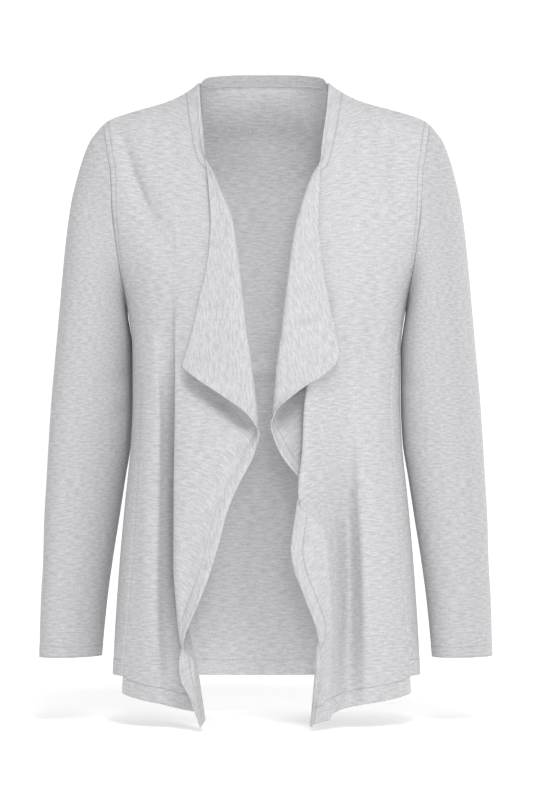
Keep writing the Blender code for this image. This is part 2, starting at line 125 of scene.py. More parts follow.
class BodyForm:
    """Hollow form of the coat, as wide and deep as the trunk that would fill it."""

    ARMHOLE_TOP = 42.0
    SHOULDER_TIP = 187.0
    UNDERARM = 247.0
    NECK_HALF_RIGHT = 77.0
    NECK_HALF_LEFT = 71.0
    SHOULDER_ROUNDING = 150.0
    SECTION_POWER = 2.3
    # Height of the shoulder line above the origin: out, height
    SHOULDER = Profile(((0, 80), (40, 45), (75, 8), (84, 0), (109, -14), (155, -28),
                        (176, -35), (187, -42), (205, -62)))
    # Armhole edge down to the underarm, then the side outline: down, out
    SIDE = Profile(((42, 187), (77, 181), (97, 177.5), (143, 175), (170, 172), (199, 168),
                    (225, 163.5), (247, 160), (274, 156), (301, 153), (357, 152.5),
                    (400, 154), (449, 158.5), (472, 161), (540, 167), (586, 170.5),
                    (632, 173), (655, 175), (720, 177)))
    # Side seam, forward of the outline below the underarm: down, out
    SEAM = Profile(((247, 160), (262, 155), (301, 145), (357, 140), (430, 143), (500, 148),
                    (586, 155), (655, 161), (720, 164)))
    # down, half width, depth in front of the side line, depth behind it, y of the side line
    TRUNK = Profile(((-90, 205, 60, 52, 4), (0, 205, 70, 62, 4), (60, 205, 84, 84, 6),
                     (120, 200, 98, 96, 8), (180, 184, 108, 100, 6), (247, 160, 114, 98, 2),
                     (301, 153, 110, 90, -2), (357, 152.5, 102, 84, -4),
                     (400, 154, 100, 88, -6), (472, 161, 104, 98, -8),
                     (540, 167, 108, 106, -12), (632, 173, 112, 112, -16),
                     (720, 177, 114, 114, -18)))
    HALF_WIDTH, FRONT, BACK, SIDE_Y = 1, 2, 3, 4
    # Seam of the back neck at its ends and in the middle, front to back and in height
    NECK_Y = (9.0, 57.0)
    NECK_Z = (-3.0, 8.0)
    # Powers of the seam's bow, and the parts of its drop with the power that each grows by
    NECK_BOW = (2.2, 0.55)
    NECK_DROPS = ((0.64, 3), (0.36, 24))

    @classmethod
    def neck_half(cls, x: np.ndarray | float) -> np.ndarray:
        """Half width of the neck on the side that x lies."""
        return np.where(np.asarray(x) < 0.0, cls.NECK_HALF_RIGHT, cls.NECK_HALF_LEFT)

    @classmethod
    def shoulder_height(cls, x: np.ndarray | float) -> np.ndarray:
        """Height of the shoulder line at places across the garment."""
        out, half = np.abs(x), cls.neck_half(x)
        share = (out - half) / (cls.SHOULDER_TIP - half)
        beyond = between(cls.NECK_HALF_RIGHT, cls.SHOULDER_TIP, share)
        return cls.SHOULDER.at(np.where(out < half, out * cls.NECK_HALF_RIGHT / half, beyond))

    @classmethod
    def _depth(cls, x: np.ndarray, down: np.ndarray, column: int) -> np.ndarray:
        """Depth of the form from its side line at points of one of its two sides."""
        ratio = np.clip(np.abs(x) / cls.TRUNK.at(down, cls.HALF_WIDTH), 0.0, 1.0)
        fullness = (1.0 - ratio ** cls.SECTION_POWER) ** (1.0 / cls.SECTION_POWER)
        share = np.clip((cls.shoulder_height(x) + down) / cls.SHOULDER_ROUNDING, 0.0, 1.0)
        return cls.TRUNK.at(down, column) * fullness * np.sqrt(1.0 - (1.0 - share) ** 2)

    @classmethod
    def side_y(cls, down: np.ndarray | float) -> np.ndarray:
        """Place of the side line, front to back."""
        return cls.TRUNK.at(down, cls.SIDE_Y)

    @classmethod
    def front_y(cls, x: np.ndarray, down: np.ndarray) -> np.ndarray:
        """Front surface of the form."""
        return cls.side_y(down) - cls._depth(x, down, cls.FRONT)

    @classmethod
    def back_y(cls, x: np.ndarray, down: np.ndarray) -> np.ndarray:
        """Back surface of the form."""
        return cls.side_y(down) + cls._depth(x, down, cls.BACK)

    @classmethod
    def side_turn(cls, down: np.ndarray) -> np.ndarray:
        """Angle of the side edge on the section: behind the side over 0, in front below 0."""
        half_width = cls.TRUNK.at(down, cls.HALF_WIDTH)
        power = cls.SECTION_POWER / 2.0
        above = np.arccos(np.clip(cls.SIDE.at(down) / half_width, 0.0, 1.0) ** power)
        below = np.arccos(np.clip(cls.SEAM.at(down) / half_width, 0.0, 1.0) ** power)
        return np.where(down <= cls.UNDERARM, above, -below)

    @classmethod
    def turn_out(cls, turn: np.ndarray, down: np.ndarray) -> np.ndarray:
        """Distance from the middle at an angle of the section."""
        cosine = np.clip(np.cos(turn), 0.0, 1.0)
        return cls.TRUNK.at(down, cls.HALF_WIDTH) * cosine ** (2.0 / cls.SECTION_POWER)

    @classmethod
    def neck_seam(cls, share: np.ndarray) -> tuple[np.ndarray, np.ndarray, np.ndarray]:
        """Seam between the back and its band at -1 to 1 across the neck: x, y, z."""
        reach = np.abs(share)
        inner, outer = cls.NECK_BOW
        bow = np.clip(1.0 - reach ** inner, 0.0, 1.0) ** outer
        rise = 1.0 - sum(part * reach ** power for part, power in cls.NECK_DROPS)
        return (share * cls.neck_half(share), between(*cls.NECK_Y, bow),
                between(*cls.NECK_Z, rise))


@dataclass(frozen=True)
class Crease:
    """Soft trough or ridge of the cloth along a short path.

    Attributes:
        path: Points of the path, in millimetres on the plane that the piece is measured in.
        width: Distance at which the crease has faded, in millimetres.
        height: Height of the ridge, below 0 for a trough, in millimetres.
    """

    # How steeply a crease rises from its ends
    FADE_POWER = 0.8

    path: tuple[tuple[float, float], ...]
    width: float
    height: float

    def over(self, plane: np.ndarray) -> np.ndarray:
        """Height of the crease at the points of a plane, in metres."""
        points = np.array(self.path, dtype=float) * MM
        spans = np.linalg.norm(np.diff(points, axis=0), axis=1)
        starts = np.concatenate(([0.0], np.cumsum(spans)))
        nearest = np.full(plane.shape[:2], np.inf)
        travel = np.zeros(plane.shape[:2])
        for index, span in enumerate(spans):
            start, along = points[index], points[index + 1] - points[index]
            share = np.clip(((plane - start) @ along) / span ** 2, 0.0, 1.0)
            gap = np.linalg.norm(plane - start - share[..., None] * along, axis=-1)
            closer = gap < nearest
            travel = np.where(closer, (starts[index] + share * span) / starts[-1], travel)
            nearest = np.minimum(nearest, gap)
        fade = np.sin(np.clip(travel, 0.0, 1.0) * math.pi) ** self.FADE_POWER
        return self.height * MM * fade * np.exp(-(nearest / (self.width * MM * 0.5)) ** 2)


def relief(creases: Iterable[Crease], plane: np.ndarray) -> np.ndarray:
    """Height that creases give together at the points of a plane, in metres."""
    return sum((crease.over(plane) for crease in creases), np.zeros(plane.shape[:2]))


class Side(Enum):
    """Edges of a cloth grid."""

    TOP = "top"
    BOTTOM = "bottom"
    FIRST = "first"
    LAST = "last"


@dataclass
class Cloth:
    """Piece of jersey on a grid of points, from its shoulder to its hem.

    Attributes:
        name: Name of the finished piece.
        points: Places of the grid points, rows by columns by 3, in metres.
        outward: 1 where the outer face looks along the grid's own normals, -1 where it looks
            the other way.
        closed: Whether the last column is the first one again, as round a sleeve.
    """

    WALL = 0.9 * MM
    HEM_WALL = 1.25 * MM
    # Distance over which a hem's second layer ends
    HEM_EDGE = 2.0 * MM
    # Distance that stands for far away from every edge
    FAR = 1.0
    # Degrees between faces above which an edge stays crisp
    SHARP = 58.0

    name: str
    points: np.ndarray
    outward: int = 1
    closed: bool = False
    wall: np.ndarray = field(init=False)
    stitch: np.ndarray = field(init=False)
    flap: np.ndarray = field(init=False)
    weave: np.ndarray = field(init=False)
    turned: np.ndarray = field(init=False)

    def __post_init__(self) -> None:
        """Start with an even wall and a pattern along the rows and down the columns."""
        shape = self.points.shape[:2]
        self.wall = np.full(shape, self.WALL)
        self.stitch = np.full(shape, self.FAR)
        self.flap = np.zeros(shape)
        steps = np.linalg.norm(np.diff(self.points, axis=1), axis=-1)
        along = np.concatenate((np.zeros((shape[0], 1)), np.cumsum(steps, axis=1)), axis=1)
        self.weave = np.stack((along, -self.points[..., 2]), axis=-1)
        self.turned = self.weave.copy()

    def normals(self) -> np.ndarray:
        """Unit normals of the grid, towards the outer face."""
        points = self.points
        if self.closed:
            points = np.concatenate((points[:, -2:-1], points, points[:, 1:2]), axis=1)
        across = np.gradient(points, axis=1)
        downward = np.gradient(points, axis=0)
        normal = np.cross(downward, across) * self.outward
        if self.closed:
            normal = normal[:, 1:-1]
        length = np.linalg.norm(normal, axis=-1, keepdims=True)
        return normal / np.maximum(length, 1e-12)

    def push(self, amount: np.ndarray) -> None:
        """Move the points along their normals by an amount in metres."""
        self.points = self.points + self.normals() * amount[..., None]

    def marked(self, side: Side, chosen: np.ndarray | None = None) -> np.ndarray:
        """Mark the grid points of one edge, or those of it that are chosen."""
        mask = np.zeros(self.points.shape[:2], dtype=bool)
        if side is Side.TOP:
            mask[0] = True
        elif side is Side.BOTTOM:
            mask[-1] = True
        elif side is Side.FIRST:
            mask[:, 0] = True
        else:
            mask[:, -1] = True
        return mask if chosen is None else mask & chosen

    def distance_from(self, seeds: np.ndarray, passes: int = 70) -> np.ndarray:
        """Distance over the cloth from marked grid points.

        Args:
            seeds: Grid points from which the distance is measured.
            passes: Number of times the distance spreads to the neighbours.

        Returns:
            Distances in metres, FAR where the spread didn't reach.
        """
        distance = np.where(seeds, 0.0, self.FAR)
        rows, columns = seeds.shape
        links = []
        for down, right in ((0, 1), (1, 0), (1, 1), (1, -1), (1, 2), (2, 1), (1, -2), (2, -1)):
            left = max(0, -right)
            near = (slice(0, rows - down), slice(left, columns - max(0, right)))
            far = (slice(down, rows), slice(left + right, columns - max(0, right) + right))
            span = np.linalg.norm(self.points[far] - self.points[near], axis=-1)
            links.append((near, far, span))
        for _ in range(passes):
            before = distance.copy()
            for near, far, span in links:
                distance[near] = np.minimum(distance[near], distance[far] + span)
                distance[far] = np.minimum(distance[far], distance[near] + span)
            if self.closed:
                joined = np.minimum(distance[:, 0], distance[:, -1])
                distance[:, 0] = joined
                distance[:, -1] = joined
            if np.array_equal(before, distance):
                break
        return distance

    def isolines(self, values: np.ndarray, level: float) -> list[np.ndarray]:
        """Lines on the grid along which a value stays level.

        Args:
            values: A value at each grid point.
            level: The value that the lines follow.

        Returns:
            Lines as arrays of grid places, each a row and a column with fractions.
        """
        above = values > level
        mixed = ((above[:-1, :-1] != above[1:, :-1]) | (above[:-1, :-1] != above[:-1, 1:])
                 | (above[:-1, :-1] != above[1:, 1:]))
        places: dict[tuple, tuple[float, float]] = {}
        links: dict[tuple, list[tuple]] = {}
        for row, column in np.argwhere(mixed):
            corners = ((row, column), (row, column + 1), (row + 1, column + 1),
                       (row + 1, column))
            found = []
            for start, end in zip(corners, corners[1:] + corners[:1]):
                if above[start] == above[end]:
                    continue
                key = (min(start, end), max(start, end))
                share = (level - values[key[0]]) / (values[key[1]] - values[key[0]])
                places[key] = tuple(between(a, b, share) for a, b in zip(*key))
                found.append(key)
            for first, second in zip(found[::2], found[1::2]):
                links.setdefault(first, []).append(second)
                links.setdefault(second, []).append(first)
        lines = []
        ends = [key for key, near in links.items() if len(near) == 1]
        for start in ends + list(links):
            line = [start]
            while links.get(line[-1]):
                following = links[line[-1]].pop()
                links[following].remove(line[-1])
                line.append(following)
            if len(line) > 2:
                lines.append(np.array([places[key] for key in line]))
        return lines

    def read(self, values: np.ndarray, places: np.ndarray) -> np.ndarray:
        """Read values of the grid at places between its points."""
        rows, columns = values.shape[:2]
        row = np.clip(np.floor(places[:, 0]).astype(int), 0, rows - 2)
        column = np.clip(np.floor(places[:, 1]).astype(int), 0, columns - 2)
        down = (places[:, 0] - row)[:, None]
        right = (places[:, 1] - column)[:, None]
        top = between(values[row, column], values[row, column + 1], right)
        bottom = between(values[row + 1, column], values[row + 1, column + 1], right)
        return between(top, bottom, down)

    def hem(self, distance: np.ndarray, width: float) -> None:
        """Turn a hem of a width along an edge: two layers as far as its stitches."""
        layers = 1.0 - smooth((distance - width) / self.HEM_EDGE + 0.5)
        self.wall = np.maximum(self.wall, between(self.WALL, self.HEM_WALL, layers))
        self.topstitch(distance, width)

    def topstitch(self, distance: np.ndarray, width: float) -> None:
        """Mark a line of stitches at a distance from an edge or a seam."""
        self.stitch = np.minimum(self.stitch, np.abs(distance - width))

    def build(self, *materials: bpy.types.Material) -> bpy.types.Object:
        """Make the thin shell of the piece, with a material for each of its faces."""
        rows, columns = self.points.shape[:2]
        used = columns - 1 if self.closed else columns
        order = np.arange(rows * used).reshape(rows, used)
        row, column = np.meshgrid(np.arange(rows - 1), np.arange(columns - 1), indexing="ij")
        corners = [(row, column), (row + 1, column), (row + 1, column + 1), (row, column + 1)]
        if self.outward < 0:
            corners.reverse()
        faces = np.stack([order[r, c % used] for r, c in corners], axis=-1).reshape(-1, 4)
        mesh = bpy.data.meshes.new(self.name)
        mesh.from_pydata(self.points[:, :used].reshape(-1, 3).tolist(), [], faces.tolist())
        for title, places in (("weave", self.weave), ("turned", self.turned)):
            spread = np.stack([places[r, c] for r, c in corners], axis=2)
            layer = mesh.uv_layers.new(name=title)
            layer.data.foreach_set("uv", spread.astype(np.float32).ravel())
        for title, values in (("stitch", self.stitch), ("flap", self.flap)):
            attribute = mesh.attributes.new(title, "FLOAT", "POINT")
            attribute.data.foreach_set("value", values[:, :used].astype(np.float32).ravel())
        piece = bpy.data.objects.new(self.name, mesh)
        bpy.context.scene.collection.objects.link(piece)
        thickest = float(self.wall.max())
        group = piece.vertex_groups.new(name="wall")
        share = (self.wall[:, :used] / thickest).ravel()
        for level in np.unique(np.round(share, 2)):
            members = np.flatnonzero(np.round(share, 2) == level)
            group.add(members.tolist(), float(level), "REPLACE")
        for material in materials:
            mesh.materials.append(material)
        mesh.shade_smooth()
        shell = piece.modifiers.new("wall", "SOLIDIFY")
        shell.material_offset = len(materials) - 1
        shell.thickness = thickest
        shell.offset = 0.0
        shell.vertex_group = "wall"
        apply_modifiers(piece)
        bpy.ops.object.shade_smooth_by_angle(angle=math.radians(self.SHARP))
        return piece


class Seam:
    """Relief of the cloth along a seam: sunk at the seam, proud over its allowance."""

    DEPTH = 0.8 * MM
    DEPTH_WIDTH = 1.6 * MM
    PROUD = 0.3 * MM
    PROUD_PLACE = 4.5 * MM
    PROUD_WIDTH = 3.0 * MM
    # Share of the relief that the armholes and side seams keep
    PRESSED = 0.4
    # Distance from the armhole at which it is topstitched
    TOPSTITCH = 7.0 * MM

    @classmethod
    def press(cls, cloth: Cloth, distance: np.ndarray, strength: float = 1.0) -> None:
        """Give a cloth the relief of a seam.

        Args:
            cloth: Cloth that the seam joins.
            distance: Distance from the seam at each grid point.
            strength: Share of the relief, 1 for a seam that isn't pressed flat.
        """
        sunk = -cls.DEPTH * np.exp(-(distance / cls.DEPTH_WIDTH) ** 2)
        proud = cls.PROUD * np.exp(-((distance - cls.PROUD_PLACE) / cls.PROUD_WIDTH) ** 2)
        cloth.push(strength * (sunk + proud))


def apply_modifiers(piece: bpy.types.Object) -> None:
    """Apply every modifier of a piece."""
    bpy.ops.object.select_all(action="DESELECT")
    bpy.context.view_layer.objects.active = piece
    piece.select_set(True)
    for modifier in list(piece.modifiers):
        bpy.ops.object.modifier_apply(modifier=modifier.name)
    piece.select_set(False)


def curve_through(knots: np.ndarray, steps: Sequence[int]) -> np.ndarray:
    """Smooth curve through the knots of many rows at once.

    Args:
        knots: Knots of each row, rows by knots by 2.
        steps: Number of steps in each stretch from one knot to the next.

    Returns:
        Points of each row, rows by points by 2, from the first knot to the last.
    """
    last = knots.shape[1] - 1
    gaps = np.sqrt(np.maximum(np.linalg.norm(np.diff(knots, axis=1), axis=-1), 0.01))[..., None]
    parts = []
    for i in range(last):
        start, end = knots[:, i], knots[:, i + 1]
        slope = (end - start) / gaps[:, i]
        leave = arrive = slope
        if i > 0:
            before = knots[:, i - 1]
            leave = ((start - before) / gaps[:, i - 1]
                     - (end - before) / (gaps[:, i - 1] + gaps[:, i]) + slope)
        if i + 1 < last:
            after = knots[:, i + 2]
            arrive = (slope - (after - start) / (gaps[:, i] + gaps[:, i + 1])
                      + (after - end) / gaps[:, i + 1])
        t = (np.arange(steps[i]) / steps[i])[None, :, None]
        start, end, leave, arrive, gap = (value[:, None] for value in
                                          (start, end, leave, arrive, gaps[:, i]))
        parts.append((2 * t ** 3 - 3 * t * t + 1) * start + (t ** 3 - 2 * t * t + t) * leave * gap
                     + (3 * t * t - 2 * t ** 3) * end + (t ** 3 - t * t) * arrive * gap)
    parts.append(knots[:, -1:])
    return np.concatenate(parts, axis=1)


class Rows:
    """Rows that the fronts and the back share, named by their level at the free edge."""

    TOP = -6.0
    TIP = 718.0
    # Last level of a stretch, number of rows down to it
    STRETCHES = ((70, 26), (300, 76), (400, 56), (480, 34), (652, 66), (TIP, 32))
    HEM_START = 540.0
    SIDE_RISE = 23.0
    SIDE_RISE_SHARE = 0.35
    SIDE_RISE_POWER = 0.8
    SLANT = 9.0
    SHOULDER_DEPTH = 60.0

    @classmethod
    def levels(cls) -> np.ndarray:
        """Levels of the rows, close together at the rounded shoulder."""
        levels = [cls.TOP]
        start = cls.TOP
        for end, count in cls.STRETCHES:
            shares = np.arange(1, count + 1) / count
            if start == cls.TOP:
                shares = shares ** 1.5
            levels.extend(between(start, end, shares))
            start = end
        return np.array(levels)

    @classmethod
    def side_drop(cls, level: np.ndarray) -> np.ndarray:
        """How far the armhole edge of a row lies below its free edge."""
        ease = smooth((level - cls.TOP) / BodyForm.UNDERARM)
        return (BodyForm.ARMHOLE_TOP - cls.TOP) * (1.0 - ease)

    @classmethod
    def hem_rise(cls, level: np.ndarray, share: np.ndarray | float) -> np.ndarray:
        """How far a row near the hem stands above its free edge."""
        near_side = np.clip(1.0 - share / cls.SIDE_RISE_SHARE, 0.0, 1.0) ** cls.SIDE_RISE_POWER
        rise = cls.SIDE_RISE * near_side + cls.SLANT * (1.0 - share)
        return rise * smooth((level - cls.HEM_START) / (cls.TIP - cls.HEM_START))

    @classmethod
    def side_level(cls, level: np.ndarray) -> np.ndarray:
        """Level at which a row meets the armhole or the side seam."""
        return level + cls.side_drop(level) - cls.hem_rise(level, 0.0)


@dataclass(frozen=True)
class FrontShape:
    """Fold lines of one front, each down, out, lift, and the way each fold turns."""

    name: str
    sign: int
    lines: dict[str, Profile]
    folds: dict[str, int]
    valley_width: float = 0.2
    lean: float = 0.0
    creases: tuple[Crease, ...] = ()
    strip_creases: tuple[Crease, ...] = ()
    flap_creases: tuple[Crease, ...] = ()


RIGHT_FRONT = FrontShape(
    name="front_right",
    sign=-1,
    lines={
        "valley": Profile(((-6, 128, 0), (70, 131, 0), (200, 124, 0), (232, 120, -1),
                           (290, 117, -4), (335, 115, -9), (400, 114, -14),
                           (560, 113, -18), (605, 111, -19), (650, 107, -16),
                           (718, 102, -10))),
        "tuck": Profile(((-6, 106, 0), (70, 110, 0), (148, 107, 0), (232, 106, 0),
                         (290, 104, -10), (335, 101, -21), (400, 98, -31), (500, 97, -35),
                         (559, 95, -34), (590, 92, -29), (622, 86, -19), (660, 77, -6),
                         (718, 68.5, 4))),
        "ridge": Profile(((-6, 98, 0), (70, 101, 0), (148, 98, 0), (232, 99, 1),
                          (290, 102, 5), (335, 102, 7), (463, 103.4, 9), (540, 103.4, 10),
                          (591, 100, 11), (612, 98, 12), (629, 95.5, 13), (652, 81.4, 12),
                          (671, 79.5, 13.5), (718, 70, 20))),
        "strip": Profile(((-6, 91, 0), (70, 87, 1), (148, 70, 3), (232, 66, 6),
                          (335, 60, 10), (380, 55, 13), (420, 65, 15), (455, 70, 15),
                          (500, 79, 15), (559, 87, 14.5), (590, 91, 15), (621, 94.5, 16.5),
                          (652, 87.4, 16.6), (671, 85, 17.8), (718, 71, 27.4))),
        "roll": Profile(((-6, 84, 0), (50, 79, 1), (70, 74, 3), (96, 60, 7), (123, 49, 9),
                         (148, 39, 10), (209, 30, 12), (279, 22, 13), (341, 13.5, 15),
                         (380, 9.5, 17), (395, 11, 18), (414, 25, 17), (455, 48, 17.5),
                         (500, 62, 17.5), (559, 76, 16.5), (590, 84, 17.5),
                         (621, 92.5, 19.6), (652, 92.2, 20.3), (671, 89, 21.4),
                         (718, 71.9, 33.2))),
        "edge": Profile(((-6, 77, 0), (33, 74, 0), (55, 71.5, 3), (70, 70.5, 9),
                         (96, 67, 9), (123, 64.5, 9), (160, 62.4, 9), (209, 67, 10),
                         (243, 75, 11), (279, 83, 13), (300, 88.8, 14), (316, 94, 15),
                         (320, 95, 15.5), (323, 91.5, 17), (338, 72, 22),
                         (354, 47.6, 28), (368, 26.4, 31), (380, 15.4, 31),
                         (395, 8.2, 29), (414, 12.4, 23), (455, 32.7, 19), (480, 43, 18),
                         (518, 53.2, 18), (559, 66, 18), (584, 76, 19), (601, 83.5, 20),
                         (621, 91, 22), (652, 97, 24), (671, 93.5, 25), (682, 87, 27),
                         (706, 78, 33), (718, 72.7, 39))),
    },
    folds={"tuck": 1, "ridge": 1, "roll": 1},
    lean=4.0,
    creases=(
        Crease(((173, 36), (163, 64), (153, 102), (138, 138), (124, 168)), 14, -5.6),
        Crease(((160, 70), (151, 106), (136, 142), (120, 176), (108, 206)), 36, -5.0),
        Crease(((142, 128), (128, 190), (120, 250)), 26, 1.6),
        Crease(((133, 270), (131, 380), (132, 520), (129, 690)), 26, 4.2),
        Crease(((150, 262), (128, 280), (106, 306)), 22, -1.3),
        Crease(((152, 335), (136, 352), (122, 380)), 16, -0.9),
    ),
    strip_creases=(
        Crease(((104, 306), (86, 329), (56, 351), (30, 370), (14, 392)), 18, -12),
        Crease(((80, 380), (78, 440), (84, 500)), 40, 1.6),
    ),
    flap_creases=(
        Crease(((50, 170), (44, 240), (38, 300)), 26, 1.1),
        Crease(((96, 322), (70, 338), (40, 364)), 16, 2.2),
    ),
)

LEFT_FRONT = FrontShape(
    name="front_left",
    sign=1,
    lines={
        "valley": Profile(((-6, 124, 0), (70, 126, 0), (200, 118, 0), (300, 94, -1),
                           (380, 90, -4), (430, 88, -12), (470, 89, -21), (510, 91, -27),
                           (560, 92, -30), (650, 91, -26), (718, 89, -13))),
        "tuck": Profile(((-6, 101, 0), (70, 104, 0), (148, 96, 0), (232, 84, 2),
                         (300, 57, 8), (330, 47, 12), (365, 42, 14), (411, 40, 15),
                         (435, 37.5, 15), (446, 35.8, 14.5), (460, 35.2, 14.3),
                         (474, 38, 14), (490, 52, 12.5), (503, 64, 10), (565, 70, 8),
                         (605, 73, 6), (636, 72, 6), (678, 71, 7), (718, 70, 8))),
        "ridge": Profile(((-6, 94, 0), (70, 96, 0), (148, 86, 0), (232, 74, 1),
                          (300, 56, 1), (330, 57, 1), (365, 54, 0), (411, 51, 0),
                          (435, 48, 1), (446, 44, 4), (460, 41.5, 8), (474, 39, 12.5),
                          (490, 46, 13.5), (503, 53, 12.5), (565, 60, 12), (605, 68, 9.5),
                          (636, 66, 11), (678, 64, 12), (718, 61, 14))),
        "strip": Profile(((-6, 86, 0), (70, 80, 1), (148, 62, 3), (232, 48, 5),
                          (300, 38, 4), (365, 28, 3), (411, 33, 3), (435, 41, 3.5),
                          (446, 42.5, 4.2), (460, 40.5, 8), (474, 38, 12),
                          (490, 41.5, 13.8), (503, 45, 14), (565, 52, 14), (605, 64, 13),
                          (636, 61, 15), (678, 58, 17), (718, 54, 20))),
        "roll": Profile(((-6, 78, 0), (50, 72, 1), (79, 64.5, 4), (96, 53, 7),
                         (118, 44, 9), (139, 38, 10), (158, 33, 10), (185, 28.4, 11),
                         (246, 20.6, 12), (279, 17, 12), (312, 12, 12), (348, 8.6, 12),
                         (375, 6.4, 12), (388, 8, 12), (411, 21, 8), (435, 35, 6.5),
                         (446, 40.8, 5.4), (460, 38.5, 8.8), (474, 36, 12),
                         (490, 36.5, 13.8), (503, 37, 15), (523, 34, 15), (565, 45, 15.5),
                         (605, 59, 16), (620, 58.5, 17), (636, 55.3, 18), (651, 54.3, 19.5),
                         (678, 52.4, 21), (709, 49.4, 26), (718, 48.4, 28))),
        "edge": Profile(((-6, 71, 0), (29, 68, 0), (56, 64, 3), (79, 61.5, 9),
                         (121, 59.2, 9), (170, 58, 9), (189, 60.8, 9), (226, 66, 10),
                         (265, 73.4, 12), (298, 81, 14), (305, 82, 14.5), (308, 81.5, 15),
                         (318, 76.5, 16), (333, 59, 20), (342, 44, 23), (353, 27.8, 26),
                         (363, 15.5, 26), (371, 9.6, 25), (387, 4.9, 22), (398, 7.6, 17),
                         (412, 13, 13), (424, 20, 10), (435, 29, 9), (446, 37, 6.5),
                         (460, 36.3, 9.5), (474, 33.8, 12), (490, 31.5, 13.8),
                         (503, 29.5, 15), (523, 27.3, 15), (546, 31, 15), (565, 38.2, 16),
                         (589, 47.4, 17), (605, 53.6, 18), (620, 57.3, 21), (636, 60.4, 25),
                         (651, 61, 27), (668, 59.6, 28), (687, 54.9, 30), (700, 52.4, 31),
                         (718, 50.4, 34))),
    },
    folds={"tuck": -1, "ridge": -1, "roll": 1},
    valley_width=0.13,
    lean=16.0,
    creases=(
        Crease(((149, 40), (147, 68), (144, 98), (140, 140)), 20, -4.4),
        Crease(((132, 86), (124, 140), (118, 210)), 34, 1.8),
        Crease(((127, 190), (122, 260), (114, 330), (109, 390)), 22, -2.4),
        Crease(((114, 350), (118, 440), (122, 560), (124, 700)), 26, 2.2),
        Crease(((152, 272), (134, 284), (116, 312)), 20, -1.2),
        Crease(((146, 420), (141, 520), (144, 620)), 28, 1.4),
    ),
    strip_creases=(
        Crease(((62, 322), (40, 346), (24, 366), (12, 392)), 18, -11),
        Crease(((46, 470), (50, 560), (56, 640)), 30, 1.4),
    ),
    flap_creases=(
        Crease(((52, 150), (48, 210), (36, 280)), 24, 1.3),
        Crease(((84, 308), (60, 326), (30, 352)), 16, 2.2),
    ),
)


